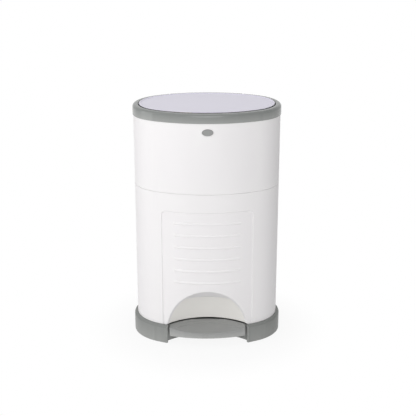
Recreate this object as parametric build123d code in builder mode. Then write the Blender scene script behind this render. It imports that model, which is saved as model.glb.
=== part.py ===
from build123d import *
from math import asin, atan, atan2, cos, degrees, hypot, radians, sin, sqrt
import os

# Nappy bin with a pedal, in millimetres. +Z is up, the front faces -Y, and the origin
# is on the floor under the middle of the base.

# ---- Oval plan: four arcs with the same centres at every size ----
collar_half_width = 184.4
collar_half_depth = 127.3
collar_end_radius = 106.9
width_over_depth = collar_half_width - collar_half_depth
end_centre_x = collar_half_width - collar_end_radius
long_centre_y = (
    width_over_depth * (2 * end_centre_x - width_over_depth)
    / (2 * (end_centre_x - width_over_depth))
)
end_arc_turn = degrees(atan2(long_centre_y, end_centre_x))

# ---- Heights ----
skirt_lift = 1.5
skirt_height = 49.0
pan_bottom = 4.0
pan_thickness = 3.0
bag_floor_height = 60.0
seam_height = 398.9
shelf_ledge_height = seam_height - 53.9
seam_gap = 1.0
lid_height = 601.7
lid_slope = 1.4
collar_bottom = lid_height - 27.1
chute_flange_height = lid_height - 21.7
trap_height = seam_height + 71.1

# ---- Walls and clearances ----
wall = 3.0
thin_wall = 2.4
fit = 0.3
loose_fit = 0.5
bore_clearance = 0.05
press_slack = 0.02
ledge_width = 6.0
overrun = 1.0

# ---- Body shells ----
shell_inset = 3.1
shell_foot_half_width = collar_half_width - shell_inset
shell_draft = 0.0025
shell_bottom = pan_bottom + pan_thickness
lower_rim = seam_height - seam_gap / 2
upper_rim = seam_height + seam_gap / 2
upper_shell_top = lid_height - 14.3

# ---- Base ----
skirt_overhang = 5.4
skirt_half_width = collar_half_width + skirt_overhang
skirt_wall = 4.0
skirt_shoulder = 7.0
notch_half_width = 100.8
notch_corner = 3.0
foot_radius = 10.0
foot_x = collar_half_width - 44.4
foot_y = collar_half_depth - 69.3
boss_radius = 5.0
boss_inset = 6.5
boss_angle = 35.0
screw_radius = 1.9
screw_head_radius = 3.0
screw_head_height = 1.8
screw_slack = 0.2
small_screw_radius = 1.5
small_head_radius = 2.8
small_head_height = 1.5

# ---- Foot recess: a ball-shaped hollow over a round-backed notch ----
scoop_radius = 147.5
scoop_centre_y = -collar_half_depth - 77.7
scoop_centre_z = 22.8
lip_bottom = 122.0
arch_rim_depth = 6.0
arch_rounding = 2.6
insert_bottom = skirt_height + 1.2
insert_top_gap = 0.6

# ---- Front panel and its ribs ----
panel_half_width = 112.3
panel_top = seam_height - 47.9
panel_corner = 10.0
panel_depth = 1.8
panel_slope = 1.6
rib_count = 6
rib_lowest = 164.5
rib_pitch = (panel_top - rib_lowest - 32.0) / (rib_count - 1)
rib_height = 6.5
rib_stand = 1.7
rib_half_length = 83.0

# ---- Pedal and its lever ----
pedal_half_width = 96.2
pedal_bottom = 22.4
pedal_front_gap = 0.5
pedal_back_gap = 2.5
pedal_wall = 3.0
pedal_corner = 4.0
pedal_rounding = 1.5
tread_radius = 753.0
tread_lowest = 30.5
tread_centre_y = -collar_half_depth - 92.7
tread_centre_z = tread_radius + tread_lowest
back_notch_half_width = 41.0
back_notch_depth = 5.0
grip_count = 4
grip_first_radius = 88.0
grip_pitch = 12.0
grip_width = 2.2
grip_stand = 0.7
pivot_y, pivot_z = 10.0, 26.0
pivot_pin_radius = 3.0
pivot_pin_half_length = 71.0
lever_arm_x = 55.0
lever_arm_width = 12.0
lever_arm_bottom, lever_arm_top = 24.0, 32.0
lever_arm_room = 2.0
lever_bar_front = 23.3 - collar_half_depth
lever_bar_back = lever_bar_front + 20.0
lever_hub_radius = 9.0
bush_radius = 5.0
rear_arm_half_width = 9.0
rear_arm_top = 34.0
ear_thickness = 5.0

# ---- Push rods ----
rod_y = collar_half_depth - 23.3
rod_radius = 4.0
upper_rod_half_width = 5.0
upper_rod_depth = 6.0
rod_gap = 0.4
guide_heights = (150.0, shelf_ledge_height - 45.0)
guide_thickness = 12.0
guide_half_width = 14.0
guide_screw_x = 9.5
upper_guide_height = seam_height + 37.1
guide_face_y = rod_y - 8.0
guide_pad_y = rod_y + 8.0
guide_screw_hold = 8.0
rod_clip_height = 100.0
rod_clip_thickness = 1.6

# ---- Refill cassette and its shelf ----
cassette_y = -3.0
cassette_radius = collar_half_depth - 31.3
cassette_throat = cassette_radius - 30.0
cassette_height = 28.0
cassette_skin = 1.8
shelf_thickness = 3.0
shelf_hole_radius = cassette_radius - 18.0
well_height = 16.0

# ---- Rear hinge of the upper section ----
tilt_y = collar_half_depth - 0.8
tilt_z = seam_height
knuckle_radius = 5.7
tilt_pin_radius = 2.5
tilt_pin_half_length = 84.0
lower_knuckle = (36.0, 60.0)
middle_knuckle_half_length = 35.5
outer_knuckle = (60.5, 84.5)
knuckle_web = 14.0
knuckle_web_start = tilt_y - 26.5

# ---- Chute and trap doors ----
chute_y = -12.0
chute_half_width = collar_half_width - 59.4
chute_half_depth = collar_half_depth - 52.3
chute_corner = chute_half_depth - 5.0
chute_rim_height = chute_flange_height + 10.0
throat_half_width = 75.5
throat_half_depth = chute_half_depth - 16.0
throat_corner = 12.0
trap_pin_y = throat_half_depth + 3.0
trap_pin_z = trap_height - 4.6
trap_pin_radius = 1.5
trap_knuckle_radius = 4.0
trap_half_width = throat_half_width - 1.0
trap_thickness = 3.0
trap_strip_width = 2.7
trap_meeting_gap = 0.3
trap_spring_half_gap = 10.0

# ---- Lid and its hinge ----
lid_half_width = collar_half_width - 16.0
lid_rim_width = 4.5
lid_field_depth = 1.0
lid_thickness = 3.2
lid_edge_rounding = 1.5
lid_gap = 1.5
finger_notch_half_width = 39.0
finger_notch_depth = 1.6
liner_half_width = lid_half_width - 8.4
liner_depth = 8.0
lid_pin_y = collar_half_depth - 29.3
lid_pin_z = lid_height - 4.7
liner_back = lid_pin_y - 18.0
lid_screw_x = lid_half_width - 63.4
lid_screw_ys = (-42.0, liner_back - 18.0)
lid_boss_radius = 3.6
lid_screw_cover = 3.0
swing_room = 1.0
lid_pin_radius = 1.5
lid_knuckle_radius = 3.4
lid_lug = (36.4, 51.6)
lid_ear_thickness = 6.0
crank_half_width = 5.0
crank_tip_radius = 2.5
lid_opening = 75.0
seal_width = 4.0

# ---- Collar ----
collar_crown_drop = 1.5
collar_shoulder = 7.0
collar_inner_rounding = 2.5
collar_skirt = 1.1

# ---- Latch ----
button_z = lid_height - 48.7
button_half_width, button_half_height = 13.5, 8.0
button_stand = 1.2
button_flange = 2.0
button_travel = 3.0
stem_radius = 2.5
bracket_y = 11.3 - collar_half_depth
bracket_thickness = 1.5
bracket_half_width = 20.0
bracket_pad_half_width = 14.0
bracket_pad_height = 10.0
bracket_screw_x = 9.0
bracket_arm_half_height = 7.0
lever_front_y = bracket_y + 4.0
lever_thickness = 4.0
lever_half_width = 5.5
latch_pivot_z = seam_height + 82.1
latch_pin_y = lever_front_y + lever_thickness / 2
latch_pin_radius = 1.5
latch_hub_radius = 3.8
keeper_bottom, keeper_top = seam_height - 14.9, seam_height - 2.9
keeper_bar_front = lever_front_y + 7.0
keeper_bar_back = keeper_bar_front + 5.0
keeper_slot_front = lever_front_y - 6.0
keeper_half_width, keeper_slot_half_width = 18.0, 13.0
hook_reach = 2.5

# ---- Derived sizes ----
tilted_top = Plane(
    origin=(0, 0, lid_height),
    z_dir=(0, -sin(radians(lid_slope)), cos(radians(lid_slope))),
    x_dir=(1, 0, 0),
)
lid_opening_half = radians(lid_opening / 2)
rear_arm = rod_y - pivot_y
pedal_swing = 6.5
rod_travel = rear_arm * radians(pedal_swing)
crank_radius = rod_travel / (2 * sin(lid_opening_half))
crank_y = lid_pin_y - crank_radius * cos(lid_opening_half)
crank_z = lid_pin_z - crank_radius * sin(lid_opening_half)
front_long_radius = shell_foot_half_width - width_over_depth + long_centre_y


def shell_half_width(height):
    """Outer half width of the body at a height."""
    return shell_foot_half_width + shell_draft * height


def outline(half_width, mode=Mode.ADD):
    """The oval plan, as a face in the current sketch."""
    end_radius = half_width - end_centre_x
    long_radius = half_width - width_over_depth + long_centre_y
    turn = end_arc_turn
    with BuildLine() as arcs:
        CenterArc((end_centre_x, 0), end_radius, -turn, 2 * turn)
        CenterArc((0, -long_centre_y), long_radius, turn, 180 - 2 * turn)
        CenterArc((-end_centre_x, 0), end_radius, 180 - turn, 2 * turn)
        CenterArc((0, long_centre_y), long_radius, 180 + turn, 180 - 2 * turn)
    make_face(arcs.edges(), mode=mode)


def outline_level(x, y):
    """Half width of the oval that runs through a point."""
    if atan2(abs(y), max(abs(x) - end_centre_x, 1e-9)) <= radians(end_arc_turn) and abs(x) > end_centre_x:
        return end_centre_x + hypot(abs(x) - end_centre_x, y)
    return hypot(x, abs(y) + long_centre_y) - long_centre_y + width_over_depth


def prism(half_width, low, high, mode=Mode.ADD):
    """A straight oval column."""
    with BuildSketch(Plane.XY.offset(low)) as plan:
        outline(half_width)
    extrude(plan.sketch, amount=high - low, mode=mode)


def drafted(low, high, inset=0.0, mode=Mode.ADD):
    """An oval column with the body's draft, inset from its outer skin."""
    with BuildSketch(Plane.XY.offset(low)) as plan:
        outline(shell_half_width(low) - inset)
    extrude(plan.sketch, amount=high - low, taper=-degrees(atan(shell_draft)), mode=mode)


def block(x, y, z, mode=Mode.ADD):
    """A box between pairs of limits."""
    with Locations(((x[0] + x[1]) / 2, (y[0] + y[1]) / 2, (z[0] + z[1]) / 2)):
        Box(x[1] - x[0], y[1] - y[0], z[1] - z[0], mode=mode)


def rod_along_x(radius, x, y, z, mode=Mode.ADD):
    """A round bar along X between two limits."""
    with Locations(((x[0] + x[1]) / 2, y, z)):
        Cylinder(radius, x[1] - x[0], rotation=(0, 90, 0), mode=mode)


def rod_along_y(radius, x, y, z, mode=Mode.ADD):
    """A round bar along Y between two limits."""
    with Locations((x, (y[0] + y[1]) / 2, z)):
        Cylinder(radius, y[1] - y[0], rotation=(90, 0, 0), mode=mode)


def mirrored(span, side):
    """A span of X carried to one side (+1 or -1) of the middle."""
    return sorted((side * span[0], side * span[1]))


def post(radius, x, y, z, mode=Mode.ADD):
    """A round bar along Z between two limits."""
    with Locations((x, y, (z[0] + z[1]) / 2)):
        Cylinder(radius, z[1] - z[0], mode=mode)


def scoop_ball(grow, mode):
    """The ball that hollows the foot recess, grown by a wall."""
    with Locations((0, scoop_centre_y, scoop_centre_z)):
        Sphere(scoop_radius + grow, mode=mode)


def notch(grow, low, high, mode):
    """The round-backed notch under the foot recess, grown by a wall."""
    with BuildSketch(Plane.XY.offset(low)) as plan:
        with Locations((0, scoop_centre_y)):
            Circle(scoop_radius + grow)
        with Locations((0, scoop_centre_y / 2)):
            Rectangle(2 * (notch_half_width + grow), -2 * scoop_centre_y, mode=Mode.INTERSECT)
    extrude(plan.sketch, amount=high - low, mode=mode)


def rounded_mouth(half_width, half_depth, corner, centre_y, mode=Mode.ADD):
    """A rounded rectangle of the chute, in the current sketch."""
    with Locations((0, centre_y)):
        RectangleRounded(2 * half_width, 2 * half_depth, corner, mode=mode)


def above(plane, mode=Mode.SUBTRACT):
    """Everything over a plane."""
    with BuildSketch(plane) as cover:
        Rectangle(3 * collar_half_width, 3 * collar_half_width)
    extrude(cover.sketch, amount=collar_half_width, mode=mode)


def corner_points(inset, angle):
    """Four points at an angle round the end arcs, inset from the skin at the foot."""
    reach = shell_foot_half_width - inset - end_centre_x
    x = end_centre_x + reach * cos(radians(angle))
    y = reach * sin(radians(angle))
    return [(side_x * x, side_y * y) for side_x in (-1, 1) for side_y in (-1, 1)]


def screw_along_z(x, y, head_face, tip, head_side):
    """A pan-head screw along Z: its head lies on the head_side (+1 or -1) of head_face."""
    post(screw_radius, x, y, sorted((head_face, tip)))
    post(screw_head_radius, x, y, sorted((head_face, head_face + head_side * screw_head_height)))


def finish(piece, name):
    """Names a piece and writes it."""
    piece.part.label = name
    export_step(piece.part, f"parts/{name}.step")


os.makedirs("parts", exist_ok=True)

# =====================================================================================
# Base: skirt, pan, feet
# =====================================================================================

boss_points = corner_points(boss_inset, boss_angle)
shelf_screws_at = corner_points(wall + ledge_width / 2 - 0.6, 22)
notch_wall_top = skirt_height - skirt_wall - 1.0
arm_span = (lever_arm_x - lever_arm_width / 2, lever_arm_x + lever_arm_width / 2)
arm_slot = (arm_span[0] - lever_arm_room, arm_span[1] + lever_arm_room)

with BuildPart() as skirt_form:
    prism(skirt_half_width, skirt_lift, skirt_height)
    fillet(skirt_form.edges().group_by(Axis.Z)[-1], skirt_shoulder)

with BuildPart() as skirt_hollow:
    prism(skirt_half_width - skirt_wall, skirt_lift - overrun, skirt_height - skirt_wall)
    with BuildSketch() as notch_lining:
        outline(skirt_half_width)
        with Locations((0, scoop_centre_y)):
            Circle(scoop_radius + wall, mode=Mode.INTERSECT)
        Rectangle(2 * (notch_half_width + wall), 2 * collar_half_width, mode=Mode.INTERSECT)
    extrude(amount=notch_wall_top, mode=Mode.SUBTRACT)
    prism(shell_half_width(skirt_height) + fit, notch_wall_top, skirt_height + overrun)

with BuildPart() as base_skirt:
    with BuildSketch(Plane.XY.offset(skirt_lift)) as skirt_plan:
        outline(skirt_half_width + 0.01)
        with BuildSketch(mode=Mode.PRIVATE) as notch_plan:
            with Locations((0, scoop_centre_y)):
                Circle(scoop_radius)
            Rectangle(2 * notch_half_width, 2 * collar_half_width, mode=Mode.INTERSECT)
        add(notch_plan.sketch, mode=Mode.SUBTRACT)
        front_corners = skirt_plan.vertices().sort_by(Axis.Y)[:2]
        fillet(front_corners, notch_corner)
    extrude(amount=skirt_height)
    add(skirt_form.part, mode=Mode.INTERSECT)
    add(skirt_hollow.part, mode=Mode.SUBTRACT)
    for side in (-1, 1):
        block(
            mirrored(arm_slot, side),
            (scoop_centre_y + scoop_radius - 30, scoop_centre_y + scoop_radius + wall),
            (lever_arm_bottom - 12, lever_arm_top + 6), Mode.SUBTRACT,
        )
finish(base_skirt, "base_skirt")

pan_top = pan_bottom + pan_thickness
ear_starts = (arm_slot[0] - ear_thickness, arm_slot[1])

with BuildPart() as floor_pan:
    prism(skirt_half_width - skirt_wall - 2 * fit, pan_bottom, pan_top)
    notch(wall + loose_fit, 0, pan_top + overrun, Mode.SUBTRACT)
    for side in (-1, 1):
        for start in ear_starts:
            block(
                mirrored((start, start + ear_thickness), side),
                (pivot_y - 10, pivot_y + 10), (pan_bottom, pivot_z + 7),
            )
    rod_along_x(
        pivot_pin_radius + bore_clearance,
        (-pivot_pin_half_length - 2, pivot_pin_half_length + 2), pivot_y, pivot_z, Mode.SUBTRACT,
    )
    block((-6, 6), (rod_y - 20, rod_y - 8), (pan_bottom, rear_arm_top - 12 - fit))
    for x, y in boss_points:
        post(screw_radius + screw_slack, x, y, (0, pan_top + overrun), Mode.SUBTRACT)
finish(floor_pan, "floor_pan")

with BuildPart() as rubber_feet:
    for side_x in (-1, 1):
        for side_y in (-1, 1):
            post(foot_radius, side_x * foot_x, side_y * foot_y, (0, pan_bottom))
    chamfer(rubber_feet.edges().group_by(Axis.Z)[0], 0.6)
finish(rubber_feet, "rubber_feet")

with BuildPart() as base_screws:
    for x, y in boss_points:
        screw_along_z(x, y, pan_bottom, pan_bottom + 20, -1)
finish(base_screws, "base_screws")

with BuildPart() as bag_floor:
    drafted(bag_floor_height, bag_floor_height + thin_wall, wall + panel_depth + fit)
    scoop_ball(arch_rim_depth + 2 * fit, Mode.SUBTRACT)
    post(rod_radius + 2, 0, rod_y, (0, bag_floor_height + 2 * wall), Mode.SUBTRACT)
finish(bag_floor, "bag_floor")

# =====================================================================================
# Lower shell and the foot recess
# =====================================================================================

with BuildPart() as panel_space:
    with BuildSketch(Plane.XZ):
        with Locations((0, (panel_top + skirt_lift) / 2 - panel_corner)):
            RectangleRounded(2 * panel_half_width, panel_top - skirt_lift + 2 * panel_corner, panel_corner)
    extrude(amount=collar_half_depth + 20)
    drafted(-4 * panel_corner, panel_top + 2 * panel_corner, panel_depth, Mode.SUBTRACT)

with BuildPart() as panel_backing:
    drafted(shell_bottom, panel_top + wall, 0.5)
    drafted(shell_bottom - overrun, panel_top + wall + overrun, panel_depth + wall, Mode.SUBTRACT)
    block(
        (-panel_half_width - wall, panel_half_width + wall),
        (-2 * collar_half_depth, -collar_half_depth / 2), (0, panel_top + wall), Mode.INTERSECT,
    )

with BuildPart() as arch_lip:
    drafted(lip_bottom, panel_top, panel_depth)
    scoop_ball(wall, Mode.INTERSECT)

with BuildPart() as arch_rim:
    drafted(shell_bottom, lip_bottom + 40, panel_depth)
    drafted(shell_bottom - overrun, lip_bottom + 40 + overrun, panel_depth + arch_rim_depth, Mode.SUBTRACT)
    scoop_ball(arch_rim_depth, Mode.INTERSECT)

lower_knuckle_spans = (
    (-lower_knuckle[1], -lower_knuckle[0]),
    (lower_knuckle[0], lower_knuckle[1]),
)
upper_knuckle_spans = (
    (-outer_knuckle[1], -outer_knuckle[0]),
    (-middle_knuckle_half_length, middle_knuckle_half_length),
    (outer_knuckle[0], outer_knuckle[1]),
)

# Hinge knuckles at the back, each on a web that grows out of the wall.
with BuildPart() as lower_knuckles:
    for limits in lower_knuckle_spans:
        block(limits, (knuckle_web_start, tilt_y), (tilt_z - knuckle_web, lower_rim))
    drafted(0, seam_height * 2, wall / 2, Mode.SUBTRACT)
    for limits in lower_knuckle_spans:
        rod_along_x(knuckle_radius, limits, tilt_y, tilt_z)

with BuildPart() as lower_shell:
    drafted(shell_bottom, lower_rim)
    drafted(shell_bottom - overrun, lower_rim + overrun, wall, Mode.SUBTRACT)
    add(panel_backing.part)
    add(panel_space.part, mode=Mode.SUBTRACT)
    # The step down to the panel is a slope, not a wall.
    panel_edges = [
        edge for edge in lower_shell.edges()
        if edge.center().Y < 0 and edge.center().Z > shell_bottom + wall
        and all(
            abs(
                outline_level((edge @ part).X, (edge @ part).Y) - shell_half_width((edge @ part).Z)
            ) < 0.05
            and abs((edge @ part).X) < panel_half_width + 0.1
            and (edge @ part).Z < panel_top + 0.1
            for part in (0.1, 0.5, 0.9)
        )
    ]
    chamfer(panel_edges, panel_slope)
    add(arch_rim.part)
    add(arch_lip.part)
    scoop_ball(0, Mode.SUBTRACT)
    panel_level = shell_half_width(lip_bottom) - panel_depth
    arch_edges = [
        edge for edge in lower_shell.edges()
        if skirt_height / 2 < edge.center().Z < lip_bottom + 40
        and edge.center().Y < -collar_half_depth / 2
        and all(
            abs(outline_level((edge @ part).X, (edge @ part).Y) - panel_level) < 0.4
            and abs(
                sqrt((edge @ part).X ** 2 + ((edge @ part).Y - scoop_centre_y) ** 2
                     + ((edge @ part).Z - scoop_centre_z) ** 2) - scoop_radius
            ) < 0.1
            for part in (0.1, 0.5, 0.9)
        )
    ]
    fillet(arch_edges, arch_rounding)
    notch(wall + loose_fit, 0, skirt_height + fit, Mode.SUBTRACT)
    # Ribs: beads that follow the panel round the same centre as its front arc.
    rib_turn = degrees(asin(rib_half_length / front_long_radius))
    for index in range(rib_count):
        rib_middle = rib_lowest + rib_pitch * index + rib_height / 2
        rib_skin = shell_half_width(rib_middle) - panel_depth - width_over_depth + long_centre_y
        start = radians(270 - rib_turn)
        with BuildSketch(Plane(
            origin=(0, long_centre_y, rib_middle),
            x_dir=(cos(start), sin(start), 0), z_dir=(sin(start), -cos(start), 0),
        )):
            with Locations((rib_skin, 0)):
                Ellipse(rib_stand, rib_height / 2)
        revolve(axis=Axis((0, long_centre_y, 0), (0, 0, 1)), revolution_arc=2 * rib_turn)
    # Ledge for the cassette shelf.
    ledge_low, ledge_high = shelf_ledge_height - ledge_width, shelf_ledge_height
    with BuildSketch(Plane.XY.offset(ledge_low)):
        outline(shell_half_width(ledge_low) - wall / 2)
        outline(shell_half_width(ledge_low) - wall - ledge_width, Mode.SUBTRACT)
    extrude(amount=ledge_width)
    for x, y in shelf_screws_at:
        post(screw_radius + bore_clearance, x, y, (ledge_low - overrun, ledge_high + overrun),
             Mode.SUBTRACT)
    # Screw bosses at the foot carry the bag floor too.
    for x, y in boss_points:
        post(boss_radius, x, y, (shell_bottom, bag_floor_height))
        post(screw_radius + bore_clearance, x, y, (0, pan_bottom + 22), Mode.SUBTRACT)
    # Pads for the rod guides.
    for height in guide_heights:
        block(
            (-guide_half_width, guide_half_width), (guide_pad_y, collar_half_depth - wall - 1.5),
            (height - guide_thickness / 2, height + guide_thickness / 2),
        )
        for side in (-1, 1):
            rod_along_y(
                screw_radius + bore_clearance, side * guide_screw_x,
                (guide_pad_y - overrun, guide_pad_y + guide_screw_hold + 1), height, Mode.SUBTRACT,
            )
    # Keeper loop for the latch hook.
    block(
        (-keeper_half_width, keeper_half_width), (-collar_half_depth + wall + 0.5, keeper_bar_back),
        (keeper_bottom, keeper_top),
    )
    block(
        (-keeper_slot_half_width, keeper_slot_half_width), (keeper_slot_front, keeper_bar_front),
        (keeper_bottom - overrun, keeper_top + overrun), Mode.SUBTRACT,
    )
    for limits in upper_knuckle_spans:
        rod_along_x(knuckle_radius + fit, limits, tilt_y, tilt_z, Mode.SUBTRACT)
    add(lower_knuckles.part)
    rod_along_x(
        tilt_pin_radius + bore_clearance, (-tilt_pin_half_length, tilt_pin_half_length), tilt_y, tilt_z,
        Mode.SUBTRACT,
    )
finish(lower_shell, "lower_shell")

with BuildPart() as kick_recess:
    drafted(insert_bottom, lip_bottom - insert_top_gap, panel_depth + arch_rim_depth + 2 * fit)
    scoop_ball(wall, Mode.INTERSECT)
    scoop_ball(0, Mode.SUBTRACT)
finish(kick_recess, "kick_recess")

# =====================================================================================
# Pedal, lever and pivot
# =====================================================================================


def pedal_plan(inset):
    """The pedal's plan: the base oval in front, the recess arc behind."""
    outline(skirt_half_width - pedal_front_gap - inset)
    with Locations((0, scoop_centre_y)):
        Circle(scoop_radius - pedal_back_gap - inset, mode=Mode.INTERSECT)
    Rectangle(2 * (pedal_half_width - inset), 2 * collar_half_width, mode=Mode.INTERSECT)


def tread_ball(grow, mode):
    """The wide ball that dishes the tread."""
    with Locations((0, tread_centre_y, tread_centre_z)):
        Sphere(tread_radius + grow, mode=mode)


tread_ceiling = pedal_bottom + 40

with BuildPart() as pedal_hollow:
    with BuildSketch(Plane.XY.offset(pedal_bottom - overrun)):
        pedal_plan(pedal_wall)
        with Locations((0, scoop_centre_y + scoop_radius - pedal_back_gap)):
            Rectangle(
                2 * (back_notch_half_width + pedal_wall), 2 * (back_notch_depth + pedal_wall),
                mode=Mode.SUBTRACT,
            )
    extrude(amount=tread_ceiling)
    tread_ball(pedal_wall, Mode.SUBTRACT)

with BuildPart() as grip_ridges:
    with BuildSketch(Plane.XY.offset(pedal_bottom)):
        for index in range(grip_count):
            with Locations((0, scoop_centre_y)):
                Circle(grip_first_radius + index * grip_pitch + grip_width / 2)
                Circle(grip_first_radius + index * grip_pitch - grip_width / 2, mode=Mode.SUBTRACT)
        pedal_edge = 2 * pedal_rounding + back_notch_depth
        Rectangle(2 * (pedal_half_width - pedal_edge), 2 * collar_half_width, mode=Mode.INTERSECT)
        outline(skirt_half_width - pedal_edge, Mode.INTERSECT)
    extrude(amount=tread_ceiling)
    tread_ball(0.2, Mode.INTERSECT)
    tread_ball(-grip_stand, Mode.SUBTRACT)

with BuildPart() as pedal_plate:
    with BuildSketch(Plane.XY.offset(pedal_bottom)) as plate_plan:
        pedal_plan(0)
        with Locations((0, scoop_centre_y + scoop_radius - pedal_back_gap)):
            Rectangle(2 * back_notch_half_width, 2 * back_notch_depth, mode=Mode.SUBTRACT)
        fillet(plate_plan.vertices(), pedal_corner)
    extrude(amount=tread_ceiling - pedal_bottom)
    tread_ball(0, Mode.SUBTRACT)
    tread_face = pedal_plate.faces().filter_by(GeomType.SPHERE)
    fillet(tread_face.edges(), pedal_rounding)
    add(pedal_hollow.part, mode=Mode.SUBTRACT)
    for side in (-1, 1):
        post(boss_radius, side * lever_arm_x, (lever_bar_front + lever_bar_back) / 2,
             (lever_arm_top, pedal_bottom + 19))
        post(screw_radius + bore_clearance, side * lever_arm_x, (lever_bar_front + lever_bar_back) / 2,
             (0, lever_arm_top + 8), Mode.SUBTRACT)
        block(
            mirrored((arm_span[0] - 1, arm_span[1] + 1), side),
            (lever_bar_back, pivot_y), (0, lever_arm_top + 1), Mode.SUBTRACT,
        )
    add(grip_ridges.part)
finish(pedal_plate, "pedal_plate")

with BuildPart() as pedal_lever:
    block(
        (-arm_span[1], arm_span[1]),
        (lever_bar_front, lever_bar_back), (lever_arm_bottom, lever_arm_top),
    )
    for side in (-1, 1):
        arm = mirrored(arm_span, side)
        block(arm, (lever_bar_front, pivot_y + 24), (lever_arm_bottom, lever_arm_top))
        rod_along_x(lever_hub_radius, arm, pivot_y, pivot_z)
        post(screw_radius + screw_slack, side * lever_arm_x, (lever_bar_front + lever_bar_back) / 2,
             (0, lever_arm_top + overrun), Mode.SUBTRACT)
    block(
        (-arm_span[1], arm_span[1]),
        (pivot_y + 12, pivot_y + 24), (lever_arm_bottom - 2, rear_arm_top),
    )
    block((-rear_arm_half_width, rear_arm_half_width), (pivot_y + 12, rod_y + 8),
          (rear_arm_top - 12, rear_arm_top))
    rod_along_x(bush_radius + press_slack, (-pivot_pin_half_length, pivot_pin_half_length),
                pivot_y, pivot_z, Mode.SUBTRACT)
    fillet(pedal_lever.edges().filter_by(Axis.Z).group_by(Axis.Y)[-1], 3)
finish(pedal_lever, "pedal_lever")

with BuildPart() as pivot_bushes:
    for side in (-1, 1):
        rod_along_x(bush_radius, mirrored(arm_span, side), pivot_y, pivot_z)
    rod_along_x(
        pivot_pin_radius + bore_clearance, (-pivot_pin_half_length, pivot_pin_half_length),
        pivot_y, pivot_z, Mode.SUBTRACT,
    )
finish(pivot_bushes, "pivot_bushes")

with BuildPart() as pivot_pin:
    rod_along_x(pivot_pin_radius, (-pivot_pin_half_length, pivot_pin_half_length), pivot_y, pivot_z)
    chamfer(pivot_pin.edges().filter_by(GeomType.CIRCLE), 0.6)
finish(pivot_pin, "pivot_pin")

with BuildPart() as pedal_screws:
    for side in (-1, 1):
        screw_along_z(side * lever_arm_x, (lever_bar_front + lever_bar_back) / 2,
                      lever_arm_bottom, lever_arm_bottom + 15, -1)
finish(pedal_screws, "pedal_screws")

# =====================================================================================
# Lower push rod, its guides and return spring
# =====================================================================================

lower_rod_foot = rear_arm_top + fit
lower_rod_head = seam_height + fit
spring_low = rod_clip_height + rod_clip_thickness
spring_high = guide_heights[0] - guide_thickness / 2

with BuildPart() as lower_push_rod:
    post(rod_radius, 0, rod_y, (lower_rod_foot, lower_rod_head))
    rod_ends = lower_push_rod.edges().filter_by(GeomType.CIRCLE).sort_by(Axis.Z)
    fillet(rod_ends[0], rod_radius - 1)
    chamfer(rod_ends[-1], 0.5)
finish(lower_push_rod, "lower_push_rod")

with BuildPart() as rod_clip:
    post(rod_radius + 4, 0, rod_y, (rod_clip_height, rod_clip_height + rod_clip_thickness))
    post(rod_radius + press_slack, 0, rod_y, (0, rod_clip_height * 2), Mode.SUBTRACT)
finish(rod_clip, "rod_clip")


def coil(height, radius, wire_radius, turns, lefthand=False):
    """A wire coil that stands on the origin along Z and starts on +X."""
    climb = height - 2 * wire_radius
    with BuildPart() as spring:
        with BuildLine() as path:
            Helix(climb / turns, climb, radius, center=(0, 0, wire_radius), lefthand=lefthand)
        with BuildSketch(Plane(origin=path.line @ 0, z_dir=path.line % 0)) as wire:
            Circle(wire_radius)
        sweep(wire.sketch, path=path.line, is_frenet=True)
    return spring.part


rod_coil = coil(spring_high - spring_low, rod_radius + 2.2, 0.7, 7)
with BuildPart() as rod_spring:
    with Locations((0, rod_y, spring_low)):
        add(rod_coil)
finish(rod_spring, "rod_spring")

with BuildPart() as rod_guides:
    for height in guide_heights:
        block(
            (-guide_half_width, guide_half_width), (guide_face_y, guide_pad_y),
            (height - guide_thickness / 2, height + guide_thickness / 2),
        )
        for side in (-1, 1):
            rod_along_y(screw_radius + screw_slack, side * guide_screw_x, (0, guide_pad_y + 1), height,
                        Mode.SUBTRACT)
    post(rod_radius + bore_clearance, 0, rod_y, (0, seam_height), Mode.SUBTRACT)
finish(rod_guides, "rod_guides")

with BuildPart() as guide_screws:
    for height in guide_heights:
        for side in (-1, 1):
            x = side * guide_screw_x
            rod_along_y(screw_radius, x, (guide_face_y, guide_pad_y + guide_screw_hold), height)
            rod_along_y(screw_head_radius, x, (guide_face_y - screw_head_height, guide_face_y), height)
finish(guide_screws, "guide_screws")

# =====================================================================================
# Cassette shelf, refill cassette and liner cutter
# =====================================================================================

shelf_top = shelf_ledge_height + shelf_thickness

with BuildPart() as shelf_relief:
    drafted(shelf_ledge_height - overrun, shelf_top + overrun)
    drafted(shelf_ledge_height - overrun, shelf_top + overrun, wall + panel_depth + fit, Mode.SUBTRACT)
    block(
        (-panel_half_width - wall - fit, panel_half_width + wall + fit),
        (-2 * collar_half_depth, -collar_half_depth / 2), (0, seam_height), Mode.INTERSECT,
    )

with BuildPart() as cassette_shelf:
    drafted(shelf_ledge_height, shelf_top, wall + fit)
    add(shelf_relief.part, mode=Mode.SUBTRACT)
    post(cassette_radius + 1 + thin_wall, 0, cassette_y, (shelf_ledge_height, shelf_top + well_height))
    post(cassette_radius + 1, 0, cassette_y, (shelf_top, shelf_top + well_height + 1), Mode.SUBTRACT)
    post(shelf_hole_radius, 0, cassette_y, (0, seam_height), Mode.SUBTRACT)
    post(rod_radius + 1, 0, rod_y, (0, seam_height), Mode.SUBTRACT)
    for x, y in shelf_screws_at:
        post(screw_radius + screw_slack, x, y, (0, seam_height), Mode.SUBTRACT)
finish(cassette_shelf, "cassette_shelf")

with BuildPart() as shelf_screws:
    for x, y in shelf_screws_at:
        screw_along_z(x, y, shelf_top, shelf_ledge_height - ledge_width + 1, 1)
finish(shelf_screws, "shelf_screws")

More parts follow.
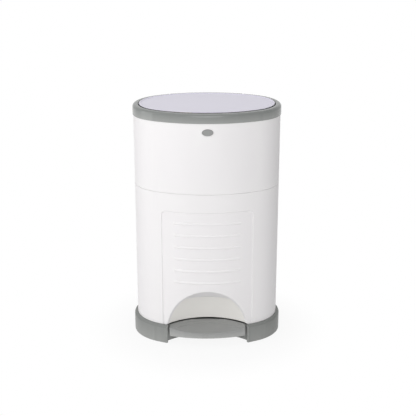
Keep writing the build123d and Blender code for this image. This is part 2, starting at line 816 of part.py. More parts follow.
cassette_top = shelf_top + cassette_height
with BuildPart() as cassette_tray:
    post(cassette_radius, 0, cassette_y, (shelf_top, cassette_top))
    with BuildSketch(Plane.XY.offset(shelf_top + cassette_skin)):
        with Locations((0, cassette_y)):
            Circle(cassette_radius - cassette_skin)
            Circle(cassette_throat + cassette_skin, mode=Mode.SUBTRACT)
    extrude(amount=cassette_height, mode=Mode.SUBTRACT)
    post(cassette_throat, 0, cassette_y, (0, seam_height), Mode.SUBTRACT)
    post(cassette_throat + cassette_skin + 1, 0, cassette_y, (cassette_top - 2, seam_height), Mode.SUBTRACT)
finish(cassette_tray, "cassette_tray")

with BuildPart() as cassette_cap:
    post(cassette_radius, 0, cassette_y, (cassette_top, cassette_top + cassette_skin))
    post(cassette_throat - 1, 0, cassette_y, (0, seam_height), Mode.SUBTRACT)
finish(cassette_cap, "cassette_cap")

with BuildPart() as film_pack:
    film_low, film_high = shelf_top + cassette_skin, cassette_top - 2
    post(cassette_radius - cassette_skin - 1, 0, cassette_y, (film_low, film_high))
    post(cassette_throat + cassette_skin + 1, 0, cassette_y, (0, seam_height), Mode.SUBTRACT)
finish(film_pack, "film_pack")

cutter_x = (cassette_radius + 22.0, cassette_radius + 56.0)
cutter_half_depth = 12.0
cutter_height = 18.0
cutter_slot = 2.0
with BuildPart() as cutter_housing:
    block(cutter_x, (-cutter_half_depth, cutter_half_depth), (shelf_top, shelf_top + cutter_height))
    fillet(cutter_housing.edges().filter_by(Axis.Z), 4)
    fillet(cutter_housing.edges().group_by(Axis.Z)[-1], 1.5)
    block(
        (cutter_x[0] - overrun, cutter_x[1] - 8), (-cutter_slot, cutter_slot),
        (shelf_top + 6, shelf_top + cutter_height + overrun), Mode.SUBTRACT,
    )
finish(cutter_housing, "cutter_housing")

with BuildPart() as cutter_blade:
    with BuildSketch(Plane.XZ):
        with BuildLine():
            Polyline(
                (cutter_x[1] - 8, shelf_top + 6), (cutter_x[0] + 8, shelf_top + 6),
                (cutter_x[1] - 8, shelf_top + cutter_height - 2), close=True,
            )
        make_face()
    extrude(amount=0.3, both=True)
finish(cutter_blade, "cutter_blade")

# =====================================================================================
# Upper shell, collar and hinge pin
# =====================================================================================

with BuildPart() as upper_knuckles:
    for limits in upper_knuckle_spans:
        block(limits, (knuckle_web_start, tilt_y), (upper_rim, tilt_z + knuckle_web))
    drafted(0, seam_height * 2, wall / 2, Mode.SUBTRACT)
    for limits in upper_knuckle_spans:
        rod_along_x(knuckle_radius, limits, tilt_y, tilt_z)

flange_ledge_low = chute_flange_height - ledge_width
bracket_pads = (latch_pivot_z - 14, button_z + 16)
chute_screws_at = corner_points(wall + ledge_width / 2 - 0.6, 25)

with BuildPart() as upper_shell:
    drafted(upper_rim, upper_shell_top)
    drafted(upper_rim - overrun, upper_shell_top + overrun, wall, Mode.SUBTRACT)
    with BuildSketch(Plane.XY.offset(flange_ledge_low)):
        outline(shell_half_width(flange_ledge_low) - wall / 2)
        outline(shell_half_width(flange_ledge_low) - wall - ledge_width, Mode.SUBTRACT)
    extrude(amount=ledge_width)
    for x, y in chute_screws_at:
        post(screw_radius + bore_clearance, x, y, (flange_ledge_low - 1, chute_flange_height + 1),
             Mode.SUBTRACT)
    for height in bracket_pads:
        block(
            (-bracket_pad_half_width, bracket_pad_half_width), (-collar_half_depth + wall + 0.5, bracket_y),
            (height - bracket_pad_height / 2, height + bracket_pad_height / 2),
        )
        for side in (-1, 1):
            rod_along_y(
                small_screw_radius + bore_clearance, side * bracket_screw_x, (bracket_y - 6, bracket_y + 1),
                height, Mode.SUBTRACT,
            )
    block(
        (-guide_half_width, guide_half_width), (guide_pad_y, collar_half_depth - wall - 1),
        (upper_guide_height - guide_thickness / 2, upper_guide_height + guide_thickness / 2),
    )
    for side in (-1, 1):
        rod_along_y(
            screw_radius + bore_clearance, side * guide_screw_x,
            (guide_pad_y - 1, guide_pad_y + guide_screw_hold + 1), upper_guide_height, Mode.SUBTRACT,
        )
    with BuildSketch(Plane.XZ):
        with Locations((0, button_z)):
            Ellipse(button_half_width + fit, button_half_height + fit)
    extrude(amount=2 * collar_half_depth, mode=Mode.SUBTRACT)
    for limits in lower_knuckle_spans:
        rod_along_x(knuckle_radius + fit, limits, tilt_y, tilt_z, Mode.SUBTRACT)
    add(upper_knuckles.part)
    rod_along_x(
        tilt_pin_radius + bore_clearance, (-tilt_pin_half_length - 2, tilt_pin_half_length + 2),
        tilt_y, tilt_z, Mode.SUBTRACT,
    )
finish(upper_shell, "upper_shell")

with BuildPart() as tilt_pin:
    rod_along_x(tilt_pin_radius, (-tilt_pin_half_length, tilt_pin_half_length), tilt_y, tilt_z)
    chamfer(tilt_pin.edges().filter_by(GeomType.CIRCLE), 0.5)
finish(tilt_pin, "tilt_pin")

collar_opening = lid_half_width + lid_gap
crown_plane = tilted_top.offset(-collar_crown_drop)
with BuildPart() as collar_ring:
    prism(collar_half_width, collar_bottom, lid_height + 20)
    above(crown_plane)
    crown_edges = [
        edge for edge in collar_ring.edges()
        if edge.center().Z > collar_bottom + 10 and abs(edge.tangent_at(0.5).Z) < 0.5
    ]
    fillet(crown_edges, collar_shoulder)
    prism(collar_opening, collar_bottom - overrun, lid_height + 20, Mode.SUBTRACT)
    opening_edges = [
        edge for edge in collar_ring.edges()
        if edge.center().Z > collar_bottom + 15 and abs(edge.tangent_at(0.5).Z) < 0.5
        and abs(outline_level(edge.center().X, edge.center().Y) - collar_opening) < 0.5
    ]
    fillet(opening_edges, collar_inner_rounding)
    prism(shell_half_width(upper_shell_top) + fit, collar_bottom - overrun, upper_shell_top + fit,
          Mode.SUBTRACT)
    prism(collar_opening + wall, chute_flange_height + wall + fit, upper_shell_top + 2)
    prism(collar_opening, chute_flange_height, upper_shell_top + 3, Mode.SUBTRACT)
    # Room for the back edge of the lid as it swings down behind its hinge.
    lid_rise = lid_height + lid_pin_y * sin(radians(lid_slope)) - lid_pin_z + loose_fit
    swing_points = []
    for x in range(-96, 97, 12):
        edge_y = sqrt((lid_half_width - width_over_depth + long_centre_y) ** 2 - x ** 2) - long_centre_y
        swing_points.append((x, lid_pin_y + hypot(edge_y - lid_pin_y, lid_rise) + swing_room))
    with BuildSketch(Plane.XY.offset(lid_pin_z)):
        with BuildLine():
            Spline(*swing_points)
            Polyline(swing_points[-1], (swing_points[-1][0], lid_pin_y), (swing_points[0][0], lid_pin_y),
                     swing_points[0])
        make_face()
    revolve(axis=Axis((0, lid_pin_y, lid_pin_z), (1, 0, 0)), mode=Mode.SUBTRACT)
finish(collar_ring, "collar_ring")

# =====================================================================================
# Chute, trap doors and their springs
# =====================================================================================


def mouth_face(half_width, half_depth, corner, centre_y, height):
    """A level rounded rectangle of the chute."""
    with BuildSketch() as mouth:
        with Locations((0, centre_y)):
            RectangleRounded(2 * half_width, 2 * half_depth, corner)
    return mouth.sketch_local.face().moved(Location((0, 0, height)))


def chute_form(grow, low, high, mode=Mode.ADD):
    """The funnel between trap doors and mouth, grown by a wall, with straight ends."""
    throat = mouth_face(throat_half_width + grow, throat_half_depth + grow, throat_corner + grow, 0,
                        trap_height)
    mouth = mouth_face(chute_half_width + grow, chute_half_depth + grow, chute_corner + grow, chute_y,
                       chute_flange_height)
    loft([throat, mouth], ruled=True, mode=mode)
    extrude(mouth, amount=high - chute_flange_height, dir=(0, 0, 1), mode=mode)
    if low < trap_height:
        extrude(throat, amount=trap_height - low, dir=(0, 0, -1), mode=mode)


flange_top = chute_flange_height + wall
trap_ear = (throat_half_width, throat_half_width + 4.5)
spring_stop = (6.0, 11.0)
lid_ears = (
    (lid_lug[0] - fit * 2 - lid_ear_thickness, lid_lug[0] - fit * 2),
    (lid_lug[1] + fit * 2, lid_lug[1] + fit * 2 + lid_ear_thickness),
)

with BuildPart() as chute:
    prism(shell_half_width(chute_flange_height) - wall - fit, chute_flange_height, flange_top)
    chute_form(thin_wall, trap_height, chute_rim_height)
    for side_x in (-1, 1):
        for side_y in (-1, 1):
            block(
                mirrored(trap_ear, side_x), mirrored((trap_pin_y - 8, trap_pin_y + 4), side_y),
                (trap_pin_z - 4, trap_height + 6),
            )
    for side in (-1, 1):
        block(spring_stop, mirrored((throat_half_depth, trap_pin_y + 2), side),
              (trap_height + 1, trap_height + 7))
    chute_form(0, trap_height - overrun, chute_rim_height + overrun, Mode.SUBTRACT)
    for side in (-1, 1):
        rod_along_x(trap_pin_radius + press_slack, (-trap_ear[1] - 1, trap_ear[1] + 1),
                    side * trap_pin_y, trap_pin_z, Mode.SUBTRACT)
        for ear in lid_ears:
            limits = mirrored(ear, side)
            block(limits, (lid_pin_y - 5, lid_pin_y + 3), (chute_flange_height, lid_pin_z))
            rod_along_x(lid_knuckle_radius, limits, lid_pin_y, lid_pin_z)
    rod_along_x(
        lid_pin_radius + press_slack, (-lid_ears[1][1] - 1, lid_ears[1][1] + 1),
        lid_pin_y, lid_pin_z, Mode.SUBTRACT,
    )
    block(
        (-upper_rod_half_width - 0.1, upper_rod_half_width + 0.1),
        (crank_y - upper_rod_depth / 2 - 0.1, crank_y + upper_rod_depth / 2 + 0.1),
        (chute_flange_height - 1, flange_top + 1), Mode.SUBTRACT,
    )
    for x, y in chute_screws_at:
        post(screw_radius + screw_slack, x, y, (chute_flange_height - 1, flange_top + 1), Mode.SUBTRACT)
finish(chute, "chute")

with BuildPart() as chute_screws:
    for x, y in chute_screws_at:
        screw_along_z(x, y, flange_top, flange_ledge_low + 1, 1)
finish(chute_screws, "chute_screws")

with BuildPart() as trap_pins:
    for side in (-1, 1):
        rod_along_x(trap_pin_radius, (-trap_ear[1], trap_ear[1]), side * trap_pin_y, trap_pin_z)
finish(trap_pins, "trap_pins")

trap_top = trap_pin_z + trap_knuckle_radius
trap_underside = trap_top - trap_thickness
spring_coil_radius, spring_wire_radius = 2.6, 0.5
coil_reach = trap_spring_half_gap - 1
leg_reach = 15.0
rib_x = 40.0

with BuildPart() as trap_door_front:
    block((-trap_half_width, trap_half_width), (-trap_pin_y, -trap_meeting_gap - trap_strip_width),
          (trap_underside, trap_top))
    for half in (-1, 1):
        rod_along_x(trap_knuckle_radius, sorted((half * trap_spring_half_gap, half * trap_half_width)),
                    -trap_pin_y, trap_pin_z)
        block(
            (half * rib_x - 1, half * rib_x + 1), (6 - trap_pin_y, -8),
            (trap_underside - thin_wall, trap_underside),
        )
    block(
        (-trap_spring_half_gap, trap_spring_half_gap),
        (-trap_pin_y - trap_knuckle_radius - overrun, -trap_pin_y + trap_knuckle_radius + overrun),
        (trap_underside - 2 * trap_knuckle_radius, trap_top + overrun), Mode.SUBTRACT,
    )
    block(
        (-trap_spring_half_gap, -trap_spring_half_gap + 3),
        (-trap_pin_y + trap_knuckle_radius + overrun, -trap_pin_y + leg_reach + overrun),
        (trap_pin_z - spring_coil_radius + spring_wire_radius + fit, trap_underside),
    )
    rod_along_x(trap_pin_radius + bore_clearance, (-trap_half_width - overrun, trap_half_width + overrun),
                -trap_pin_y, trap_pin_z, Mode.SUBTRACT)
finish(trap_door_front, "trap_door_front")

with BuildPart() as trap_seal_front:
    block((-trap_half_width, trap_half_width), (-trap_meeting_gap - trap_strip_width, -trap_meeting_gap),
          (trap_underside, trap_top))
finish(trap_seal_front, "trap_seal_front")

trap_coil = coil(2 * coil_reach, spring_coil_radius, spring_wire_radius, 6.25, True)
with BuildPart() as trap_spring_front:
    with Locations(Location((-coil_reach, -trap_pin_y, trap_pin_z), (0, 90, 0))):
        add(trap_coil)
    rod_along_y(spring_wire_radius, -coil_reach + spring_wire_radius,
                (-trap_pin_y - fit, -trap_pin_y + leg_reach), trap_pin_z - spring_coil_radius)
    post(spring_wire_radius, coil_reach - spring_wire_radius, -trap_pin_y - spring_coil_radius,
         (trap_pin_z - fit, trap_height + 6))
finish(trap_spring_front, "trap_spring_front")

# The rear door, its seal and its spring mirror the front ones.
for front_piece, name in (
    (trap_door_front, "trap_door_rear"),
    (trap_seal_front, "trap_seal_rear"),
    (trap_spring_front, "trap_spring_rear"),
):
    with BuildPart() as rear_piece:
        mirror(front_piece.part, about=Plane.XZ)
    finish(rear_piece, name)

# =====================================================================================
# Upper push rod
# =====================================================================================

upper_rod_foot = lower_rod_head + rod_gap
upper_rod_head = crank_z - crank_tip_radius - rod_gap
rod_half = upper_rod_depth / 2
jog_low, jog_high = chute_flange_height - 60.0, chute_flange_height - 40.0
with BuildPart() as upper_push_rod:
    with BuildSketch(Plane.YZ):
        with BuildLine():
            Polyline(
                (rod_y - rod_half, upper_rod_foot), (rod_y + rod_half, upper_rod_foot),
                (rod_y + rod_half, jog_low + 2), (crank_y + rod_half, jog_high + 2),
                (crank_y + rod_half, upper_rod_head), (crank_y - rod_half, upper_rod_head),
                (crank_y - rod_half, jog_high), (rod_y - rod_half, jog_low), close=True,
            )
        make_face()
    extrude(amount=upper_rod_half_width, both=True)
    jog_edges = [
        edge for edge in upper_push_rod.edges().filter_by(Axis.X)
        if jog_low - 1 < edge.center().Z < jog_high + 3
    ]
    fillet(jog_edges, rod_radius)
finish(upper_push_rod, "upper_push_rod")

with BuildPart() as upper_rod_guide:
    block(
        (-guide_half_width, guide_half_width), (guide_face_y, guide_pad_y),
        (upper_guide_height - guide_thickness / 2, upper_guide_height + guide_thickness / 2),
    )
    block(
        (-upper_rod_half_width - bore_clearance, upper_rod_half_width + bore_clearance),
        (rod_y - rod_half - bore_clearance, rod_y + rod_half + bore_clearance),
        (upper_guide_height - guide_thickness, upper_guide_height + guide_thickness), Mode.SUBTRACT,
    )
    for side in (-1, 1):
        rod_along_y(screw_radius + screw_slack, side * guide_screw_x, (0, guide_pad_y + 1),
                    upper_guide_height, Mode.SUBTRACT)
finish(upper_rod_guide, "upper_rod_guide")

with BuildPart() as upper_guide_screws:
    for side in (-1, 1):
        x = side * guide_screw_x
        rod_along_y(screw_radius, x, (guide_face_y, guide_pad_y + guide_screw_hold), upper_guide_height)
        rod_along_y(screw_head_radius, x, (guide_face_y - screw_head_height, guide_face_y),
                    upper_guide_height)
finish(upper_guide_screws, "upper_guide_screws")

# =====================================================================================
# Lid
# =====================================================================================

lid_screws_at = [(side * lid_screw_x, y) for side in (-1, 1) for y in lid_screw_ys]
lid_underside = tilted_top.offset(-lid_thickness)
liner_floor = tilted_top.offset(-liner_depth)
liner_skin = 2.0

with BuildPart() as lid_panel:
    with BuildSketch(lid_underside):
        outline(lid_half_width)
    extrude(amount=lid_thickness)
    fillet(lid_panel.faces().sort_by(Axis.Z)[-1].edges(), lid_edge_rounding)
    with BuildSketch(tilted_top.offset(-lid_field_depth)) as field:
        outline(lid_half_width - lid_rim_width)
    extrude(amount=lid_thickness, mode=Mode.SUBTRACT)
    with BuildSketch(tilted_top.offset(-lid_thickness * 0.6)) as finger_cut:
        with Locations((0, -collar_half_depth + 20)):
            Rectangle(2 * finger_notch_half_width, 60)
        outline(lid_half_width - finger_notch_depth, Mode.SUBTRACT)
    extrude(amount=lid_thickness, mode=Mode.SUBTRACT)
    for x, y in lid_screws_at:
        top_z = lid_height + y * sin(radians(lid_slope))
        post(lid_boss_radius, x, y, (top_z - liner_depth - 2, top_z - lid_thickness / 2))
        post(small_screw_radius + bore_clearance, x, y,
             (top_z - liner_depth - 3, top_z - lid_screw_cover), Mode.SUBTRACT)
    with BuildSketch(liner_floor.offset(liner_skin)) as trim:
        outline(lid_half_width)
    extrude(amount=-10, mode=Mode.SUBTRACT)
finish(lid_panel, "lid_panel")

with BuildPart() as lid_liner:
    with BuildSketch(liner_floor):
        outline(liner_half_width)
    extrude(amount=liner_depth - lid_thickness)
    with BuildSketch(liner_floor.offset(liner_skin)):
        outline(liner_half_width - liner_skin)
        with Locations((0, liner_back - liner_skin + collar_half_depth)):
            Rectangle(2 * collar_half_width, 2 * collar_half_depth, mode=Mode.SUBTRACT)
    extrude(amount=liner_depth, mode=Mode.SUBTRACT)
    block((-collar_half_width, collar_half_width), (liner_back, collar_half_depth + 20),
          (lid_height - 40, lid_height + 40), Mode.SUBTRACT)
    for side in (-1, 1):
        lug = mirrored(lid_lug, side)
        block(lug, (liner_back - 6, lid_pin_y), (lid_pin_z - lid_knuckle_radius, lid_pin_z + 2.6))
        rod_along_x(lid_knuckle_radius, lug, lid_pin_y, lid_pin_z)
    block((-crank_half_width, crank_half_width), (liner_back - 6, crank_y),
          (crank_z - crank_tip_radius, crank_z + 6))
    rod_along_x(crank_tip_radius, (-crank_half_width, crank_half_width), crank_y, crank_z)
    rod_along_x(lid_pin_radius + bore_clearance, (-lid_lug[1] - 1, lid_lug[1] + 1), lid_pin_y, lid_pin_z,
                Mode.SUBTRACT)
    for x, y in lid_screws_at:
        post(small_screw_radius + screw_slack, x, y, (lid_height - 20, lid_height), Mode.SUBTRACT)
finish(lid_liner, "lid_liner")

with BuildPart() as lid_screws:
    for x, y in lid_screws_at:
        top_z = lid_height + y * sin(radians(lid_slope))
        floor_z = top_z - liner_depth - screw_slack
        post(small_screw_radius, x, y, (floor_z, top_z - lid_screw_cover - 1))
        post(small_head_radius, x, y, (floor_z - small_head_height, floor_z))
finish(lid_screws, "lid_screws")

with BuildPart() as lid_seal:
    with BuildSketch(Plane.XY.offset(chute_rim_height + fit)):
        grow = thin_wall / 2 + seal_width / 2
        rounded_mouth(chute_half_width + grow, chute_half_depth + grow, chute_corner + grow, chute_y)
        grow = thin_wall / 2 - seal_width / 2
        rounded_mouth(chute_half_width + grow, chute_half_depth + grow, chute_corner + grow, chute_y,
                      Mode.SUBTRACT)
    extrude(amount=20)
    above(liner_floor)
finish(lid_seal, "lid_seal")

with BuildPart() as lid_pin:
    rod_along_x(lid_pin_radius, (-lid_ears[1][1], lid_ears[1][1]), lid_pin_y, lid_pin_z)
finish(lid_pin, "lid_pin")

# =====================================================================================
# Release button and latch
# =====================================================================================

button_face_y = -(shell_half_width(button_z) - width_over_depth + button_stand)
button_back_y = -(shell_half_width(button_z) - width_over_depth - wall - 3)
with BuildPart() as release_button:
    with BuildSketch(Plane.XZ.offset(-button_back_y)):
        with Locations((0, button_z)):
            Ellipse(button_half_width, button_half_height)
    extrude(amount=button_back_y - button_face_y)
    fillet(release_button.edges().group_by(Axis.Y)[0], 1.0)
    with BuildSketch(Plane.XZ.offset(-button_back_y)):
        with Locations((0, button_z)):
            Ellipse(button_half_width + button_flange, button_half_height + button_flange)
    extrude(amount=2)
    rod_along_y(stem_radius, 0, (button_back_y, lever_front_y - fit), button_z)
finish(release_button, "release_button")

bracket_back = bracket_y + bracket_thickness
seat_y = lever_front_y + lever_thickness + 8.5
pivot_arm = (8.0, 11.0)
seat_arm = (10.0, 12.0)
with BuildPart() as latch_bracket:
    block((-bracket_half_width, bracket_half_width), (bracket_y, bracket_back),
          (latch_pivot_z - bracket_half_width, button_z + bracket_half_width))
    pivot_band = (latch_pivot_z - bracket_arm_half_height, latch_pivot_z + bracket_arm_half_height)
    seat_band = (button_z - bracket_arm_half_height, button_z + bracket_arm_half_height)
    for side in (-1, 1):
        block(mirrored(pivot_arm, side), (bracket_back, lever_front_y + 7), pivot_band)
        block(mirrored(seat_arm, side), (bracket_back, seat_y + bracket_thickness), seat_band)
        for height in bracket_pads:
            rod_along_y(small_screw_radius + screw_slack, side * bracket_screw_x,
                        (bracket_y - 1, bracket_back + 1), height, Mode.SUBTRACT)
    block((-seat_arm[1], seat_arm[1]), (seat_y, seat_y + bracket_thickness), seat_band)
    rod_along_x(latch_pin_radius + press_slack, (-seat_arm[1], seat_arm[1]), latch_pin_y, latch_pivot_z,
                Mode.SUBTRACT)
    rod_along_y(stem_radius + fit, 0, (bracket_y - 1, bracket_back + 1), button_z, Mode.SUBTRACT)
finish(latch_bracket, "latch_bracket")

with BuildPart() as latch_screws:
    for side in (-1, 1):
        for height in bracket_pads:
            rod_along_y(small_screw_radius, side * bracket_screw_x, (bracket_y - 5, bracket_back), height)
            rod_along_y(small_head_radius, side * bracket_screw_x,
                        (bracket_back, bracket_back + small_head_height), height)
finish(latch_screws, "latch_screws")

with BuildPart() as latch_pin:
    rod_along_x(latch_pin_radius, (-11.5, 11.5), latch_pin_y, latch_pivot_z)
finish(latch_pin, "latch_pin")

hook_top = keeper_bottom - 2 * fit
with BuildPart() as latch_lever:
    block((-lever_half_width, lever_half_width), (lever_front_y, lever_front_y + lever_thickness),
          (hook_top - 6, button_z + 7))
    block((-lever_half_width, lever_half_width),
          (lever_front_y + lever_thickness, keeper_bar_front + hook_reach), (hook_top - 6, hook_top))
    rod_along_x(latch_hub_radius, (-7.4, 7.4), latch_pin_y, latch_pivot_z)
    rod_along_x(latch_pin_radius + bore_clearance, (-9, 9), latch_pin_y, latch_pivot_z,
                Mode.SUBTRACT)
finish(latch_lever, "latch_lever")

latch_coil = coil(seat_y - lever_front_y - lever_thickness - 0.2, 3.2, 0.5, 5)
with BuildPart() as latch_spring:
    with Locations(Location((0, lever_front_y + lever_thickness + 0.1, button_z), (-90, 0, 0))):
        add(latch_coil)
finish(latch_spring, "latch_spring")
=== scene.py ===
"""A nappy bin with a pedal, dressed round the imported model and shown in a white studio."""

import math

import bmesh
import bpy
from mathutils import Matrix, Vector


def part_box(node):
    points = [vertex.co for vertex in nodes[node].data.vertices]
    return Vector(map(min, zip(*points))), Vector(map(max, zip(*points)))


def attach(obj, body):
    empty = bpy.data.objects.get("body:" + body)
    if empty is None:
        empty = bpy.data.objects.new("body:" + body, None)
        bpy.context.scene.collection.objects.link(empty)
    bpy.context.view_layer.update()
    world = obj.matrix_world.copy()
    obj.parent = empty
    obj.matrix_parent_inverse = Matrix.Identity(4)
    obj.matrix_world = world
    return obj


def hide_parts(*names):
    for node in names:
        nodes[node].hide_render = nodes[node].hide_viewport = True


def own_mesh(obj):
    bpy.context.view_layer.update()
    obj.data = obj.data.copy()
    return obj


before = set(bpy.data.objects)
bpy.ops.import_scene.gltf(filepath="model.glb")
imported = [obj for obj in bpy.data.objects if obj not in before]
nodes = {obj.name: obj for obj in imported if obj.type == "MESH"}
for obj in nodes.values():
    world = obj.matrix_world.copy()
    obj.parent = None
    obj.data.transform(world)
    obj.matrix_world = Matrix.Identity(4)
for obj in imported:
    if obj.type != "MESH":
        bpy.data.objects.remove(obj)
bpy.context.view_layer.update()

# =============================================================================
# Base: skirt and floor pan
# The grey skirt that the body stands in, and the pan screwed up inside it. Both
# are injection-moulded polypropylene; the skirt's outside is satin, the pan has
# the coarse spark-eroded face of a part that nobody sees.
# =============================================================================

MM = 0.001
TRIM_GREY = "868886"
TRIM_ROUGHNESS = 0.34


def linear(code, gain=1.0):
    """An sRGB hex colour as linear RGBA."""
    channels = []
    for start in (0, 2, 4):
        value = int(code[start:start + 2], 16) / 255
        value = value / 12.92 if value <= 0.04045 else ((value + 0.055) / 1.055) ** 2.4
        channels.append(value * gain)
    return (*channels, 1.0)


def add_node(tree, kind, inputs=None, **settings):
    """A shader node with its settings; an input takes a value or another node's output."""
    node = tree.nodes.new(kind)
    for name, value in settings.items():
        setattr(node, name, value)
    for name, value in (inputs or {}).items():
        if isinstance(value, bpy.types.NodeSocket):
            tree.links.new(value, node.inputs[name])
        else:
            node.inputs[name].default_value = value
    return node


def start_material(name):
    """A new material with its tree emptied, and the object coordinates to pattern it by."""
    material = bpy.data.materials.new(name)
    material.use_nodes = True
    tree = material.node_tree
    tree.nodes.clear()
    return material, tree, add_node(tree, "ShaderNodeTexCoord").outputs["Object"]


def show_surface(tree, shader):
    """Makes a shader node the material's surface."""
    add_node(tree, "ShaderNodeOutputMaterial", {"Surface": shader.outputs[0]})


def moulded_plastic(name, colour, roughness, grain=0.5, depth=0.02, specular=0.5):
    """Moulded plastic: slow flow shading, faint smudges, spark grain in mm, corners painted pale: partly rubbed wear,
    partly a painted highlight on the edges.
    """
    material, tree, place = start_material(name)
    drawn = add_node(tree, "ShaderNodeMapping", {"Vector": place, "Scale": (1.0, 1.0, 0.35)})
    flow = add_node(tree, "ShaderNodeTexNoise", {"Vector": drawn.outputs[0], "Scale": 9.0, "Detail": 2.0})
    shade = add_node(tree, "ShaderNodeMix", {
        0: flow.outputs["Fac"], 6: linear(colour, 0.975), 7: linear(colour, 1.02),
    }, data_type="RGBA")
    # Sharp corners are mixed towards near white: partly rubbed wear, partly a painted highlight along the edges.
    corner = add_node(tree, "ShaderNodeNewGeometry")
    pale_edge_wear_and_highlight = add_node(tree, "ShaderNodeMapRange", {
        "Value": corner.outputs["Pointiness"], "From Min": 0.52, "From Max": 0.62, "To Max": 0.25,
    })
    worn_and_highlit = add_node(tree, "ShaderNodeMix", {
        0: pale_edge_wear_and_highlight.outputs[0], 6: shade.outputs[2], 7: linear("F4F4F2"),
    }, data_type="RGBA")
    smudge = add_node(tree, "ShaderNodeTexNoise", {"Vector": place, "Scale": 30.0, "Detail": 3.0})
    sheen = add_node(tree, "ShaderNodeMapRange", {
        "Value": smudge.outputs["Fac"], "To Min": roughness - 0.03, "To Max": roughness + 0.04,
    })
    spark = add_node(tree, "ShaderNodeTexNoise", {"Vector": place, "Scale": 1 / (grain * MM), "Detail": 1.0})
    relief = add_node(tree, "ShaderNodeBump", {
        "Height": spark.outputs["Fac"], "Strength": 0.35, "Distance": depth * MM,
    })
    show_surface(tree, add_node(tree, "ShaderNodeBsdfPrincipled", {
        "Base Color": worn_and_highlit.outputs[2], "Roughness": sheen.outputs[0], "Normal": relief.outputs[0],
        "Specular IOR Level": specular,
    }))
    return material


def dress(material, *names):
    """Gives CAD nodes a material."""
    for name in names:
        mesh = nodes[name].data
        if not mesh.materials:
            mesh.materials.append(material)
        for index in range(len(mesh.materials)):
            mesh.materials[index] = material


# Satin grey polypropylene: even, a little soft in the highlights.
satin_grey_polypropylene = moulded_plastic(
    "satin_grey_polypropylene", TRIM_GREY, TRIM_ROUGHNESS, depth=0.03, specular=0.06,
)
# The same plastic off a rough mould face: dull, with a grain that shows close up.
rough_grey_polypropylene = moulded_plastic(
    "rough_grey_polypropylene", "858886", 0.6, grain=1.2, depth=0.08, specular=0.3,
)
dress(satin_grey_polypropylene, "base_skirt")
dress(rough_grey_polypropylene, "floor_pan")

# =============================================================================
# Feet: four rubber buttons pressed into the floor pan
# Each is a turned disc with a rounded rim and two grip rings moulded in its sole.
# =============================================================================

FOOT_RADIUS = 10.0
FOOT_HEIGHT = 4.0
# Half section from the centre of the sole out and up: (radius, height) in mm.
FOOT_SECTION = (
    (0.0, 0.5), (2.6, 0.5), (3.0, 0.0), (4.6, 0.0), (5.0, 0.5), (6.2, 0.5), (6.6, 0.0), (9.2, 0.0),
    (9.8, 0.25), (FOOT_RADIUS, 0.8), (FOOT_RADIUS, 3.6), (9.7, FOOT_HEIGHT), (0.0, FOOT_HEIGHT),
)


def select_only(piece):
    """Leaves one object selected and active."""
    bpy.ops.object.select_all(action="DESELECT")
    piece.select_set(True)
    bpy.context.view_layer.objects.active = piece


def keep_mesh(name, piece):
    """Renames a new piece and its mesh and returns it to object mode."""
    bpy.ops.object.mode_set(mode="OBJECT")
    piece.name = name
    piece.data.name = name
    return piece


def turned(name, section, centre, steps, closed=False):
    """A turned piece: a half section in mm, spun round an upright axis through the centre."""
    bpy.ops.object.select_all(action="DESELECT")
    bpy.ops.mesh.primitive_circle_add(vertices=len(section), radius=1.0, fill_type="NOTHING")
    piece = bpy.context.object
    for vertex, (radius, height) in zip(piece.data.vertices, section):
        vertex.co = (radius * MM + centre[0], centre[1], height * MM)
    bpy.ops.object.mode_set(mode="EDIT")
    bpy.ops.mesh.select_mode(type="EDGE")
    bpy.ops.mesh.select_all(action="SELECT")
    if not closed:
        loop = bmesh.from_edit_mesh(piece.data)
        for edge in [e for e in loop.edges if all(abs(v.co.x - centre[0]) < 1e-7 for v in e.verts)]:
            loop.edges.remove(edge)
        bmesh.update_edit_mesh(piece.data)
    bpy.ops.mesh.spin(steps=steps, angle=2 * math.pi, center=(centre[0], centre[1], 0), axis=(0, 0, 1))
    bpy.ops.mesh.select_all(action="SELECT")
    bpy.ops.mesh.remove_doubles(threshold=0.01 * MM)
    bpy.ops.mesh.normals_make_consistent(inside=False)
    return keep_mesh(name, piece)


def put_copies(name, model, moves):
    """One piece made of the model copied by each move; the model itself goes."""
    copies = []
    for move in moves:
        mesh = model.data.copy()
        mesh.transform(move)
        copy = bpy.data.objects.new(name, mesh)
        bpy.context.scene.collection.objects.link(copy)
        copies.append(copy)
    bpy.data.objects.remove(model)
    bpy.ops.object.select_all(action="DESELECT")
    for copy in copies:
        copy.select_set(True)
    bpy.context.view_layer.objects.active = copies[0]
    if len(copies) > 1:
        bpy.ops.object.join()
    return keep_mesh(name, copies[0])


def smooth_by_angle(piece, degrees=35.0):
    """Smooth shading that keeps sharp corners sharp."""
    select_only(piece)
    bpy.ops.object.shade_smooth_by_angle(angle=math.radians(degrees))


def cast_rubber(name, colour):
    """Rubber: a dusty grey bloom over a cast grain, and no clear highlight."""
    material, tree, place = start_material(name)
    bloom = add_node(tree, "ShaderNodeTexNoise", {"Vector": place, "Scale": 60.0, "Detail": 4.0})
    dusty = add_node(tree, "ShaderNodeMix", {
        0: bloom.outputs["Fac"], 6: linear(colour, 0.8), 7: linear(colour, 1.5),
    }, data_type="RGBA")
    dull = add_node(tree, "ShaderNodeMapRange", {"Value": bloom.outputs["Fac"], "To Min": 0.6, "To Max": 0.85})
    cast = add_node(tree, "ShaderNodeTexNoise", {"Vector": place, "Scale": 900.0, "Detail": 2.0})
    relief = add_node(tree, "ShaderNodeBump", {"Height": cast.outputs["Fac"], "Strength": 0.5, "Distance": 0.08 * MM})
    show_surface(tree, add_node(tree, "ShaderNodeBsdfPrincipled", {
        "Base Color": dusty.outputs[2], "Roughness": dull.outputs[0], "Normal": relief.outputs[0],
        "Specular IOR Level": 0.3,
    }))
    return material


